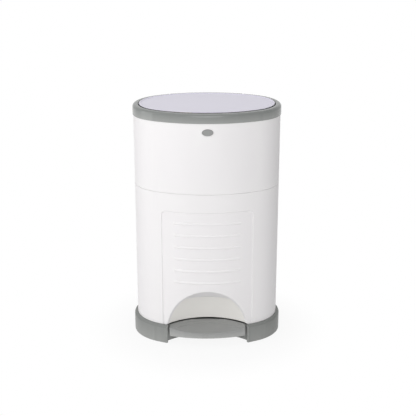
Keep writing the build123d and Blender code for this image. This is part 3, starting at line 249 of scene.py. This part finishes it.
foot_low, foot_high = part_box("rubber_feet")
foot_x = foot_high[0] - FOOT_RADIUS * MM
foot_y = foot_high[1] - FOOT_RADIUS * MM
foot_model = turned("foot_model", FOOT_SECTION, (0, 0), 48)
grip_feet = put_copies("grip_feet", foot_model, [
    Matrix.Translation((side_x * foot_x, side_y * foot_y, foot_low[2]))
    for side_x in (-1, 1) for side_y in (-1, 1)
])
smooth_by_angle(grip_feet)
# Black rubber: nearly matt, greyer where it has bloomed.
black_rubber = cast_rubber("cast_black_rubber", "1E1F20")
grip_feet.data.materials.append(black_rubber)
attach(grip_feet, "base")
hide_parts("rubber_feet")

# =============================================================================
# Cross-head screws
# Zinc-plated pan-head screws hold the pan, pedal, guides, shelf, chute, lid liner
# and latch bracket. One screw of each size is modelled and set in every hole.
# =============================================================================

RECESS_DEPTH = 0.55   # of the head's height
RECESS_ARM = 0.62     # of the head's radius
RECESS_WIDTH = 0.26   # of the head's radius


def choose(piece, kind, test):
    """In edit mode, selects the faces or edges whose middle passes a test."""
    bpy.ops.mesh.select_all(action="DESELECT")
    bpy.ops.mesh.select_mode(type=kind)
    mesh = bmesh.from_edit_mesh(piece.data)
    for part in (mesh.faces if kind == "FACE" else mesh.edges):
        middle = sum((vertex.co for vertex in part.verts), Vector()) / len(part.verts)
        part.select = test(part, middle)
    mesh.select_flush_mode()
    bmesh.update_edit_mesh(piece.data)


def cut_away(piece, cutter):
    """Cuts one closed mesh out of another and removes it."""
    cut = piece.modifiers.new("cut", "BOOLEAN")
    cut.object = cutter
    cut.operation = "DIFFERENCE"
    cut.solver = "EXACT"
    select_only(piece)
    bpy.ops.object.modifier_apply(modifier=cut.name)
    bpy.data.objects.remove(cutter)


def cross_head_screw(head_radius, head_height, shank_radius, shank_length):
    """A pan-head screw that points down from the origin, with its head above it."""
    bpy.ops.object.select_all(action="DESELECT")
    bpy.ops.mesh.primitive_cylinder_add(
        vertices=32, radius=head_radius, depth=head_height, location=(0, 0, head_height / 2),
    )
    screw = bpy.context.object
    bpy.ops.object.transform_apply(location=True, rotation=True, scale=True)
    bpy.ops.object.mode_set(mode="EDIT")
    choose(screw, "EDGE", lambda edge, middle: all(v.co.z > head_height * 0.99 for v in edge.verts))
    bpy.ops.mesh.bevel(offset=head_height * 0.55, segments=4, affect="EDGES")
    choose(screw, "FACE", lambda face, middle: face.normal.z < -0.9)
    bpy.ops.mesh.inset(thickness=head_radius - shank_radius)
    bpy.ops.mesh.extrude_region_move(TRANSFORM_OT_translate={"value": (0, 0, -shank_length * 0.82)})
    bpy.ops.mesh.extrude_region_move(TRANSFORM_OT_translate={"value": (0, 0, -shank_length * 0.18)})
    bpy.ops.transform.resize(value=(0.35, 0.35, 1.0))
    bpy.ops.object.mode_set(mode="OBJECT")
    for turn in (0, math.pi / 2):
        bpy.ops.object.select_all(action="DESELECT")
        bpy.ops.mesh.primitive_cube_add(size=1.0)
        cutter = bpy.context.object
        cutter.scale = (
            2 * RECESS_ARM * head_radius, RECESS_WIDTH * head_radius, 2 * RECESS_DEPTH * head_height,
        )
        cutter.location = (0, 0, head_height)
        cutter.rotation_euler = (0, 0, turn)
        bpy.ops.object.transform_apply(location=True, rotation=True, scale=True)
        cut_away(screw, cutter)
    return screw


def plated_steel(name, colour, roughness, spangle):
    """Zinc-plated steel: bright grey with a faint cloudiness and fine handling marks."""
    material, tree, place = start_material(name)
    cloud = add_node(tree, "ShaderNodeTexNoise", {"Vector": place, "Scale": 1 / (spangle * MM), "Detail": 4.0})
    tone = add_node(tree, "ShaderNodeMix", {
        0: cloud.outputs["Fac"], 6: linear(colour, 0.8), 7: linear(colour, 1.1),
    }, data_type="RGBA")
    gloss = add_node(tree, "ShaderNodeMapRange", {
        "Value": cloud.outputs["Fac"], "To Min": roughness, "To Max": roughness + 0.2,
    })
    relief = add_node(tree, "ShaderNodeBump", {"Height": cloud.outputs["Fac"], "Strength": 0.4, "Distance": 0.03 * MM})
    show_surface(tree, add_node(tree, "ShaderNodeBsdfPrincipled", {
        "Base Color": tone.outputs[2], "Metallic": 1.0, "Roughness": gloss.outputs[0],
        "Normal": relief.outputs[0],
    }))
    return material


# Zinc plate: cloudy, brighter than bare steel.
zinc_plated_steel = plated_steel("zinc_plated_steel", "A9ABAE", 0.28, 2.0)


def span(low, high, radius):
    """The one or two places of a row of heads along an axis, from the node's box."""
    first, last = low + radius, high - radius
    return (first,) if last - first < radius else (first, last)


def set_screws(node, body, axis, head_side, head_radius, head_height, shank_radius, slope=0.0):
    """Puts screws where a CAD node has them: along axis 1 (Y) or 2 (Z), heads on the head_side."""
    low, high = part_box(node)
    head = head_radius * MM
    rise = (high[1] - low[1] - 2 * head) * slope
    length = high[axis] - low[axis] - head_height * MM - rise
    model = cross_head_screw(head, head_height * MM, shank_radius * MM, length)
    moves = []
    for x in span(low[0], high[0], head):
        if axis == 2:
            for y in span(low[1], high[1], head):
                lift = (y - low[1] - head) * slope
                seat = high[2] - head_height * MM if head_side > 0 else low[2] + head_height * MM + lift
                move = Matrix.Translation((x, y, seat))
                moves.append(move if head_side > 0 else move @ Matrix.Rotation(math.pi, 4, "X"))
        else:
            for z in span(low[2], high[2], head):
                seat = high[1] - head_height * MM if head_side > 0 else low[1] + head_height * MM
                turn = Matrix.Rotation(-head_side * math.pi / 2, 4, "X")
                moves.append(Matrix.Translation((x, seat, z)) @ turn)
    screws = put_copies(node.replace("_screws", "_cross_screws"), model, moves)
    smooth_by_angle(screws, 30.0)
    screws.data.materials.append(zinc_plated_steel)
    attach(screws, body)
    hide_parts(node)


LARGE_SCREW = (3.0, 1.8, 1.9)   # head radius, head height and shank radius
SMALL_SCREW = (2.8, 1.5, 1.5)
LID_SLOPE = math.sin(math.radians(1.4))
set_screws("base_screws", "base", 2, -1, *LARGE_SCREW)
set_screws("pedal_screws", "pedal", 2, -1, *LARGE_SCREW)
set_screws("guide_screws", "base", 1, -1, *LARGE_SCREW)
set_screws("shelf_screws", "base", 2, 1, *LARGE_SCREW)
set_screws("upper_guide_screws", "upper", 1, -1, *LARGE_SCREW)
set_screws("chute_screws", "upper", 2, 1, *LARGE_SCREW)
set_screws("latch_screws", "upper", 1, 1, *SMALL_SCREW)
set_screws("lid_screws", "lid", 2, -1, *SMALL_SCREW, slope=LID_SLOPE)

# =============================================================================
# Pedal, lever and pivot
# The tread is the skirt's grey plastic; under it a pressed steel lever rocks in
# nylon bushes on a ground pin.
# =============================================================================

# The tread: the trim plastic painted a shade paler, painted light so that it reads more brightly lit.
pale_lit_grey_polypropylene = moulded_plastic(
    "pale_lit_grey_polypropylene", "9A9B9A", TRIM_ROUGHNESS, depth=0.03, specular=0.12,
)
dress(pale_lit_grey_polypropylene, "pedal_plate")


def drawn_steel(name, colour, roughness, grain_direction):
    """Bare steel: fine draw or grinding lines along one axis, dull where it has been handled."""
    material, tree, place = start_material(name)
    along = add_node(tree, "ShaderNodeMapping", {"Vector": place, "Scale": grain_direction})
    lines = add_node(tree, "ShaderNodeTexNoise", {"Vector": along.outputs[0], "Scale": 300.0, "Detail": 4.0})
    stain = add_node(tree, "ShaderNodeTexNoise", {"Vector": place, "Scale": 25.0, "Detail": 3.0})
    tone = add_node(tree, "ShaderNodeMix", {
        0: stain.outputs["Fac"], 6: linear(colour, 0.8), 7: linear(colour, 1.1),
    }, data_type="RGBA")
    gloss = add_node(tree, "ShaderNodeMapRange", {
        "Value": lines.outputs["Fac"], "To Min": roughness, "To Max": roughness + 0.22,
    })
    relief = add_node(tree, "ShaderNodeBump", {"Height": lines.outputs["Fac"], "Strength": 0.5, "Distance": 0.03 * MM})
    show_surface(tree, add_node(tree, "ShaderNodeBsdfPrincipled", {
        "Base Color": tone.outputs[2], "Metallic": 1.0, "Roughness": gloss.outputs[0],
        "Normal": relief.outputs[0],
    }))
    return material


# Ground pins lie along X, so their lines do too.
ground_steel_pin = drawn_steel("ground_steel_pin", "B9BABD", 0.2, (0.02, 1.0, 1.0))
# Pressed sheet: lines the other way, and duller.
pressed_steel = drawn_steel("pressed_steel", "A3A5A8", 0.34, (1.0, 0.03, 1.0))
# Nylon left in its own colour: creamy, a little waxy.
natural_nylon = moulded_plastic("natural_nylon", "DDDACF", 0.5, grain=0.8, depth=0.05, specular=0.4)
dress(pressed_steel, "pedal_lever")
dress(natural_nylon, "pivot_bushes")
dress(ground_steel_pin, "pivot_pin")

# =============================================================================
# Lower body: shell, foot recess and bag floor
# The white shell is moulded ABS with a satin face. The recess over the pedal is a
# separate insert in a warm pale grey, and a plain white floor closes the bag space.
# =============================================================================

# White ABS: clean and neutral, a soft broad highlight.
satin_white_abs = moulded_plastic("satin_white_abs", "F0EEEF", 0.42, specular=0.2)
# The insert: the warm grey white that its hollow shows.
warm_white_insert = moulded_plastic("warm_white_insert", "F7F5F1", 0.5, depth=0.03, specular=0.25)
# Inner parts: plain white styrene off an unpolished mould, flatter than the shell.
inner_white_styrene = moulded_plastic("inner_white_styrene", "E2E2DF", 0.55, grain=0.8, depth=0.05, specular=0.3)
dress(satin_white_abs, "lower_shell")
dress(warm_white_insert, "kick_recess")
dress(inner_white_styrene, "bag_floor")

# The locating lip on the lower shell's rim, seen in the seam below the upper shell.
SEAM_LOW = 398.4
SEAM_LIP_HEIGHT = 0.94
SEAM_LIP_WALL = 1.5
SEAM_LIP_HALF_WIDTH = 180.6
END_CENTRE_X = 77.5
LONG_CENTRE_Y = 137.0
LONG_LESS_SHORT = 57.1
END_ARC_TURN = math.atan2(LONG_CENTRE_Y, END_CENTRE_X)


def oval_point(half_width, turn):
    """The point of the body's four-arc oval whose outward side faces this way, in mm."""
    ahead, across = math.cos(turn), math.sin(turn)
    if abs(math.asin(across)) <= END_ARC_TURN:
        radius = half_width - END_CENTRE_X
        return math.copysign(END_CENTRE_X, ahead) + radius * ahead, radius * across
    radius = half_width - LONG_LESS_SHORT + LONG_CENTRE_Y
    return radius * ahead, radius * across - math.copysign(LONG_CENTRE_Y, across)


bpy.ops.object.select_all(action="DESELECT")
bpy.ops.mesh.primitive_circle_add(vertices=360, radius=1.0, fill_type="NOTHING")
seam_lip = bpy.context.object
for vertex in seam_lip.data.vertices:
    x, y = oval_point(SEAM_LIP_HALF_WIDTH, math.atan2(vertex.co.y, vertex.co.x))
    vertex.co = Vector((x, y, SEAM_LOW + 0.02)) * MM
bpy.ops.object.mode_set(mode="EDIT")
bpy.ops.mesh.select_mode(type="EDGE")
bpy.ops.mesh.select_all(action="SELECT")
bpy.ops.mesh.extrude_region_move(TRANSFORM_OT_translate={"value": (0, 0, SEAM_LIP_HEIGHT * MM)})
bpy.ops.mesh.select_all(action="SELECT")
bpy.ops.mesh.normals_make_consistent(inside=False)
keep_mesh("seam_lip", seam_lip)
lip_wall = seam_lip.modifiers.new("lip_wall", "SOLIDIFY")
lip_wall.thickness = SEAM_LIP_WALL * MM
lip_wall.offset = -1.0
select_only(seam_lip)
bpy.ops.object.modifier_apply(modifier=lip_wall.name)
smooth_by_angle(seam_lip)
seam_lip.data.materials.append(satin_white_abs)
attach(seam_lip, "base")

# =============================================================================
# Push rods, guides and the return spring
# A drawn steel rod carries the pedal's push up the back to a nylon rod that lifts
# the lid's crank; a spring coiled round it, between a pressed clip and a guide,
# brings it down again.
# =============================================================================

ROD_WIRE_RADIUS = 0.7
ROD_SPRING_TURNS = 7

# Drawn bar stands upright, so its lines run along Z.
drawn_steel_rod = drawn_steel("drawn_steel_rod", "B9BABD", 0.22, (1.0, 1.0, 0.02))
# Spring wire: oiled and darker than the plated parts.
oiled_spring_wire = plated_steel("oiled_spring_wire", "8E9196", 0.3, 1.0)
dress(drawn_steel_rod, "lower_push_rod", "rod_clip")
dress(natural_nylon, "rod_guides", "upper_rod_guide", "upper_push_rod")


def coiled_spring(name, node, body, axis, wire_radius, turns):
    """A coil of round wire in a CAD node's place, standing on its low end along axis 1 (Y) or 2 (Z)."""
    low, high = (Vector(corner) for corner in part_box(node))
    length = high[axis] - low[axis]
    wire = wire_radius * MM
    bpy.ops.object.select_all(action="DESELECT")
    bpy.ops.mesh.primitive_circle_add(
        vertices=12, radius=wire, fill_type="NOTHING", rotation=(math.pi / 2, 0, 0),
        location=((high.x - low.x) / 2 - wire, 0, wire),
    )
    coil = bpy.context.object
    bpy.ops.object.transform_apply(location=True, rotation=True, scale=True)
    winding = coil.modifiers.new("winding", "SCREW")
    winding.steps = winding.render_steps = 32
    winding.iterations = turns
    winding.screw_offset = (length - 2 * wire) / turns
    bpy.ops.object.modifier_apply(modifier=winding.name)
    bpy.ops.object.mode_set(mode="EDIT")
    bpy.ops.mesh.select_mode(type="EDGE")
    bpy.ops.mesh.select_all(action="SELECT")
    bpy.ops.mesh.remove_doubles(threshold=0.01 * MM)
    bpy.ops.mesh.select_all(action="SELECT")
    bpy.ops.mesh.fill_holes(sides=0)
    bpy.ops.mesh.select_all(action="SELECT")
    bpy.ops.mesh.normals_make_consistent(inside=False)
    keep_mesh(name, coil)
    foot = (low + high) / 2
    foot[axis] = low[axis]
    lean = Matrix.Rotation(-math.pi / 2, 4, "X") if axis == 1 else Matrix.Identity(4)
    coil.data.transform(Matrix.Translation(foot) @ lean)
    smooth_by_angle(coil)
    coil.data.materials.append(oiled_spring_wire)
    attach(coil, body)
    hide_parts(node)
    along = Vector((0, 0, 0))
    along[axis] = 1.0
    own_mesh(coil)


coiled_spring(
    "rod_return_spring", "rod_spring", "base", 2, ROD_WIRE_RADIUS, ROD_SPRING_TURNS,
)

# =============================================================================
# Cassette shelf, refill cassette and cutter
# A white shelf holds the pale blue refill cassette, whose ring of pleated film is
# seen in the gap round its throat. The cutter beside it has a slot for the film.
# =============================================================================

PLEATS = 14
PLEAT_DEPTH = 0.9
FILM_CENTRE_Y = -3.0
FILM_THROAT = 68.8

# Thin blue polypropylene: lets a little light through.
pale_blue_polypropylene = moulded_plastic("pale_blue_polypropylene", "B9D3E6", 0.42, specular=0.4)
dress(inner_white_styrene, "cassette_shelf")
dress(pale_blue_polypropylene, "cassette_tray", "cassette_cap")
dress(rough_grey_polypropylene, "cutter_housing")
# The blade: ground steel, its lines across the edge.
ground_blade_steel = drawn_steel("ground_blade_steel", "C4C6C9", 0.16, (1.0, 1.0, 0.05))
dress(ground_blade_steel, "cutter_blade")


def pleated_film(name, colour):
    """Pressed film: milky, with the soft sheen of many thin layers."""
    material, tree, place = start_material(name)
    layers = add_node(tree, "ShaderNodeTexWave", {
        "Vector": place, "Scale": 160.0, "Distortion": 3.0, "Detail": 2.0,
    }, bands_direction="Z")
    milky = add_node(tree, "ShaderNodeMix", {
        0: layers.outputs["Fac"], 6: linear(colour, 0.75), 7: linear(colour),
    }, data_type="RGBA")
    relief = add_node(tree, "ShaderNodeBump", {"Height": layers.outputs["Fac"], "Strength": 0.6, "Distance": 0.3 * MM})
    show_surface(tree, add_node(tree, "ShaderNodeBsdfPrincipled", {
        "Base Color": milky.outputs[2], "Roughness": 0.35, "Normal": relief.outputs[0],
        "Subsurface Weight": 0.1, "Subsurface Radius": (0.002, 0.002, 0.002),
    }))
    return material


film_low, film_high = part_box("film_pack")
film_bottom, film_top = film_low[2] / MM, film_high[2] / MM
film_inner, film_outer = FILM_THROAT, film_high[0] / MM
fold = (film_top - film_bottom) / PLEATS
film_section = []
for index in range(PLEATS):
    film_section += [
        (film_inner, film_bottom + index * fold), (film_inner + PLEAT_DEPTH, film_bottom + (index + 0.5) * fold),
    ]
film_section += [(film_inner, film_top), (film_outer, film_top)]
for index in reversed(range(PLEATS)):
    film_section += [
        (film_outer - PLEAT_DEPTH, film_bottom + (index + 0.5) * fold), (film_outer, film_bottom + index * fold),
    ]
film_ring = turned("film_ring", film_section, (0, FILM_CENTRE_Y * MM), 120, closed=True)
smooth_by_angle(film_ring, 20.0)
film_ring.data.materials.append(pleated_film("pleated_film", "DCE2EA"))
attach(film_ring, "base")
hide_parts("film_pack")

# =============================================================================
# Upper body, its hinge pin and the collar
# The white upper shell tilts back on a ground pin. The grey collar caps it; it is
# the trim plastic, moulded smoother, so its crown takes a streak of light.
# =============================================================================

# The collar's plastic: as the skirt's, from a better polished mould.
smooth_grey_polypropylene = moulded_plastic(
    "smooth_grey_polypropylene", "808381", 0.2, depth=0.015, specular=0.4,
)
dress(satin_white_abs, "upper_shell")
dress(smooth_grey_polypropylene, "collar_ring")
dress(ground_steel_pin, "tilt_pin")

# =============================================================================
# Chute, trap doors and their springs
# A white funnel under the lid; two grey doors close its throat on soft strips and
# are sprung shut.
# =============================================================================

# Soft strip: mid grey rubber.
grey_seal_rubber = cast_rubber("cast_grey_seal_rubber", "4A4B4C")
dress(inner_white_styrene, "chute")
dress(rough_grey_polypropylene, "trap_door_front", "trap_door_rear")
dress(grey_seal_rubber, "trap_seal_front", "trap_seal_rear")
dress(ground_steel_pin, "trap_pins")
dress(oiled_spring_wire, "trap_spring_front", "trap_spring_rear")

# =============================================================================
# Lid: panel, liner, seal and finger lip
# A shallow white dish with a rolled rim over a white liner that carries the seal.
# In the notch at the front the liner's edge shows as a small lip, painted a pale cream as a highlight.
# =============================================================================

LIP_HALF_WIDTH = 38.0
LIP_DEPTH = 1.5
LIP_HEIGHT = 1.6
LIP_DROP = 5.8
FRONT_ARC_RADIUS = 248.3
FRONT_ARC_CENTRE_Y = 137.0

# Lid ABS: white, painted a darker lavender than the body as a painted reflection of its surroundings, and more
# polished.
polished_lid_abs = moulded_plastic("polished_lid_abs", "E5E2EF", 0.32, depth=0.015, specular=0.2)
# The lip: the liner's plastic, painted a pale cream brighter than the liner, a painted highlight along the notch.
cream_lip_painted_highlight = moulded_plastic("cream_lip_painted_highlight", "F6EEDF", 0.4, specular=0.3)
dress(polished_lid_abs, "lid_panel")
dress(inner_white_styrene, "lid_liner")
dress(grey_seal_rubber, "lid_seal")
dress(ground_steel_pin, "lid_pin")

lid_low, lid_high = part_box("lid_panel")
lip_turn = math.asin(LIP_HALF_WIDTH / FRONT_ARC_RADIUS)
lip_radius = FRONT_ARC_RADIUS - LIP_DEPTH / 2
lip_top = lid_high[2] / MM - LIP_DROP
bpy.ops.object.select_all(action="DESELECT")
bpy.ops.mesh.primitive_plane_add(size=1.0)
finger_lip = bpy.context.object
for vertex in finger_lip.data.vertices:
    radius = lip_radius + vertex.co.x * LIP_DEPTH
    vertex.co = Vector((
        -radius * math.sin(lip_turn), FRONT_ARC_CENTRE_Y - radius * math.cos(lip_turn),
        lip_top - LIP_HEIGHT / 2 + vertex.co.y * LIP_HEIGHT,
    )) * MM
bpy.ops.object.mode_set(mode="EDIT")
bpy.ops.mesh.select_all(action="SELECT")
bpy.ops.mesh.spin(
    steps=40, angle=2 * lip_turn, center=(0, FRONT_ARC_CENTRE_Y * MM, 0), axis=(0, 0, 1),
)
bpy.ops.mesh.select_all(action="SELECT")
bpy.ops.mesh.normals_make_consistent(inside=False)
keep_mesh("finger_lip", finger_lip)
rounding = finger_lip.modifiers.new("rounding", "BEVEL")
rounding.width = 0.3 * MM
rounding.segments = 2
rounding.limit_method = "ANGLE"
select_only(finger_lip)
bpy.ops.object.modifier_apply(modifier=rounding.name)
smooth_by_angle(finger_lip)
finger_lip.data.materials.append(cream_lip_painted_highlight)
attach(finger_lip, "lid")

# A dark rubber strip round the lid's edge: painted shade, a dark line standing for the shadowed gap to the collar. It
# stops short of the hinge, where the lid swings down.
STRIP_THICKNESS = 0.9
STRIP_HEIGHT = 2.2
STRIP_DROP = 0.9
STRIP_BACK = 70.0
LID_HALF_WIDTH = 168.4

bpy.ops.object.select_all(action="DESELECT")
bpy.ops.mesh.primitive_circle_add(vertices=360, radius=1.0, fill_type="NOTHING")
lid_gap_shade_strip = bpy.context.object
for vertex in lid_gap_shade_strip.data.vertices:
    x, y = oval_point(LID_HALF_WIDTH + 0.03, math.atan2(vertex.co.y, vertex.co.x))
    drop = STRIP_DROP + STRIP_HEIGHT + (lid_high[1] / MM - y) * LID_SLOPE
    vertex.co = Vector((x, y, lid_high[2] / MM - drop)) * MM
bpy.ops.object.mode_set(mode="EDIT")
choose(lid_gap_shade_strip, "EDGE", lambda edge, middle: middle.y > STRIP_BACK * MM)
bpy.ops.mesh.delete(type="EDGE")
bpy.ops.mesh.select_all(action="SELECT")
bpy.ops.mesh.extrude_region_move(TRANSFORM_OT_translate={"value": (0, 0, STRIP_HEIGHT * MM)})
bpy.ops.mesh.select_all(action="SELECT")
bpy.ops.mesh.normals_make_consistent(inside=False)
keep_mesh("lid_gap_shade_strip", lid_gap_shade_strip)
strip_wall = lid_gap_shade_strip.modifiers.new("strip_wall", "SOLIDIFY")
strip_wall.thickness = STRIP_THICKNESS * MM
strip_wall.offset = 1.0
select_only(lid_gap_shade_strip)
bpy.ops.object.modifier_apply(modifier=strip_wall.name)
smooth_by_angle(lid_gap_shade_strip)
# The strip's dark rubber is painted shade for the gap between lid and collar.
lid_gap_shade_strip.data.materials.append(grey_seal_rubber)
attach(lid_gap_shade_strip, "lid")

# =============================================================================
# Release button, its bezel and the latch
# The grey oval button stands in a raised white ring moulded on the shell. Behind
# it a grey lever rocks on a pin in a white bracket, pushed back by a small coil.
# =============================================================================

BUTTON_HEIGHT_Z = 553.0
LATCH_WIRE_RADIUS = 0.5
LATCH_SPRING_TURNS = 5
BEZEL_INNER = (14.0, 8.5)
BEZEL_BAND = 2.0
BEZEL_STAND = 0.9
WALL_ARC_RADIUS = 262.6
WALL_ARC_CENTRE_Y = 137.0

# The button takes the same paler copy of the trim plastic: painted light.
dress(pale_lit_grey_polypropylene, "release_button")
dress(rough_grey_polypropylene, "latch_lever")
dress(inner_white_styrene, "latch_bracket")
dress(ground_steel_pin, "latch_pin")
coiled_spring(
    "latch_lever_spring", "latch_spring", "upper", 1, LATCH_WIRE_RADIUS, LATCH_SPRING_TURNS,
)

bpy.ops.object.select_all(action="DESELECT")
bpy.ops.mesh.primitive_circle_add(vertices=72, radius=1.0, fill_type="NOTHING", rotation=(math.pi / 2, 0, 0))
button_bezel = bpy.context.object
bpy.ops.object.transform_apply(location=True, rotation=True, scale=True)
bpy.ops.object.mode_set(mode="EDIT")
bpy.ops.mesh.select_mode(type="EDGE")
bpy.ops.mesh.select_all(action="SELECT")
bpy.ops.transform.resize(value=(BEZEL_INNER[0] * MM, 1.0, BEZEL_INNER[1] * MM))
bpy.ops.mesh.extrude_region_move()
bpy.ops.transform.resize(value=(
    (BEZEL_INNER[0] + BEZEL_BAND) / BEZEL_INNER[0], 1.0, (BEZEL_INNER[1] + BEZEL_BAND) / BEZEL_INNER[1],
))
bpy.ops.mesh.select_all(action="SELECT")
bpy.ops.mesh.extrude_region_move(TRANSFORM_OT_translate={"value": (0, BEZEL_STAND * MM + 0.5 * MM, 0)})
bpy.ops.mesh.select_all(action="SELECT")
bpy.ops.mesh.normals_make_consistent(inside=False)
keep_mesh("button_bezel", button_bezel)
for vertex in button_bezel.data.vertices:
    x = vertex.co.x / MM
    wall_y = WALL_ARC_CENTRE_Y - math.sqrt(WALL_ARC_RADIUS ** 2 - x ** 2)
    vertex.co.y += (wall_y - BEZEL_STAND) * MM
    vertex.co.z += BUTTON_HEIGHT_Z * MM
rounding = button_bezel.modifiers.new("rounding", "BEVEL")
rounding.width = 0.6 * MM
rounding.segments = 4
rounding.limit_method = "ANGLE"
select_only(button_bezel)
bpy.ops.object.modifier_apply(modifier=rounding.name)
smooth_by_angle(button_bezel, 50.0)
button_bezel.data.materials.append(satin_white_abs)
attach(button_bezel, "upper")

# =============================================================================
# Studio: white floor and backdrop, and soft light
# A large pale floor, an even world, and four softboxes: over the camera, on the
# left, overhead and a weaker one behind. The left is lit more than the right.
# =============================================================================

WORLD_STRENGTH = 0.37
PAPER_COLOUR = "E4E4E4"
SHADOW_WHITE = 0.9


def seen_as_background(tree):
    """1 for the rays that should see plain white: from the camera, reflections and clear things."""
    path = add_node(tree, "ShaderNodeLightPath")
    clear = add_node(tree, "ShaderNodeMath", {
        0: path.outputs["Is Glossy Ray"], 1: path.outputs["Is Transmission Ray"],
    }, operation="MAXIMUM")
    either = add_node(tree, "ShaderNodeMath", {
        0: path.outputs["Is Camera Ray"], 1: clear.outputs[0],
    }, operation="MAXIMUM")
    return either.outputs[0]


bpy.ops.object.select_all(action="DESELECT")
bpy.ops.mesh.primitive_plane_add(size=8.0, location=(0, 1.0, 0))
floor = bpy.context.object
floor.name = "studio_floor"
floor_paper, tree, place = start_material("white_floor_paper")
paper = add_node(tree, "ShaderNodeBsdfDiffuse", {"Color": linear(PAPER_COLOUR)})
paper_white = add_node(tree, "ShaderNodeEmission", {"Color": (1, 1, 1, 1), "Strength": 1.0})
from_bin = add_node(tree, "ShaderNodeVectorMath", {0: place, 1: (0.0, 1.0, 0.0)}, operation="ADD")
distance = add_node(tree, "ShaderNodeVectorMath", {0: from_bin.outputs[0]}, operation="LENGTH")
whitened = add_node(tree, "ShaderNodeMapRange", {
    "Value": distance.outputs["Value"], "From Min": 0.18, "From Max": 0.34, "To Min": SHADOW_WHITE, "To Max": 1.0,
}, interpolation_type="SMOOTHSTEP")
# Close round the bin its soft shadow stays on the paper; further off the paper is plain white.
white_share = add_node(tree, "ShaderNodeMath", {
    0: seen_as_background(tree), 1: whitened.outputs[0],
}, operation="MULTIPLY")
show_surface(tree, add_node(tree, "ShaderNodeMixShader", {
    0: white_share.outputs[0], 1: paper.outputs[0], 2: paper_white.outputs[0],
}))
floor.data.materials.append(floor_paper)

world = bpy.data.worlds.new("studio")
bpy.context.scene.world = world
world.use_nodes = True
tree = world.node_tree
tree.nodes.clear()
even_light = add_node(tree, "ShaderNodeBackground", {"Color": (1, 1, 1, 1), "Strength": WORLD_STRENGTH})
backdrop = add_node(tree, "ShaderNodeBackground", {"Color": (1, 1, 1, 1), "Strength": 1.0})
sky = add_node(tree, "ShaderNodeMixShader", {
    0: seen_as_background(tree), 1: even_light.outputs[0], 2: backdrop.outputs[0],
})
add_node(tree, "ShaderNodeOutputWorld", {"Surface": sky.outputs[0]})


def softbox(name, azimuth, elevation, distance, width, height, power):
    """An area light aimed at the middle of the bin; azimuth 0 is the front and + is the right."""
    target = Vector((0, 0, 0.3))
    turn = math.radians(azimuth)
    rise = math.radians(elevation)
    place = target + distance * Vector(
        (math.sin(turn) * math.cos(rise), -math.cos(turn) * math.cos(rise), math.sin(rise))
    )
    light = bpy.data.lights.new(name, "AREA")
    light.shape = "RECTANGLE"
    light.size = width
    light.size_y = height
    light.energy = power
    lamp = bpy.data.objects.new(name, light)
    lamp.location = place
    lamp.rotation_euler = (target - place).to_track_quat("-Z", "Y").to_euler()
    lamp.visible_camera = False
    bpy.context.scene.collection.objects.link(lamp)


softbox("front_box", 0, 20, 2.6, 1.6, 1.6, 28.5)
softbox("left_box", -80, 15, 2.2, 1.6, 1.6, 17.5)
softbox("top_box", 0, 85, 2.2, 1.6, 1.6, 6.0)
softbox("back_box", 180, 55, 2.4, 1.6, 1.6, 6.0)

# =============================================================================
# Camera
# The photograph's viewpoint: in front, a little above, and level across. Place,
# tilt and lens were solved from the bin's own edges.
# =============================================================================

PHOTO_SIDE = 416
SENSOR_WIDTH = 36.0
FOCAL_PIXELS = 968.976
CENTRE_COLUMN = 206.906
CAMERA_PLACE = (-33.1 * MM, -2365.95 * MM, 1075.48 * MM)
CAMERA_TILT = math.radians(17.56)
CAMERA_TURN = -0.014

lens = bpy.data.cameras.new("camera")
lens.sensor_width = SENSOR_WIDTH
lens.lens = FOCAL_PIXELS * SENSOR_WIDTH / PHOTO_SIDE
lens.shift_x = (PHOTO_SIDE / 2 - CENTRE_COLUMN) / PHOTO_SIDE
camera = bpy.data.objects.new("camera", lens)
camera.location = CAMERA_PLACE
camera.rotation_euler = (math.pi / 2 - CAMERA_TILT, 0, CAMERA_TURN)
bpy.context.scene.collection.objects.link(camera)
bpy.context.scene.camera = camera
bpy.context.scene.view_settings.view_transform = "Standard"
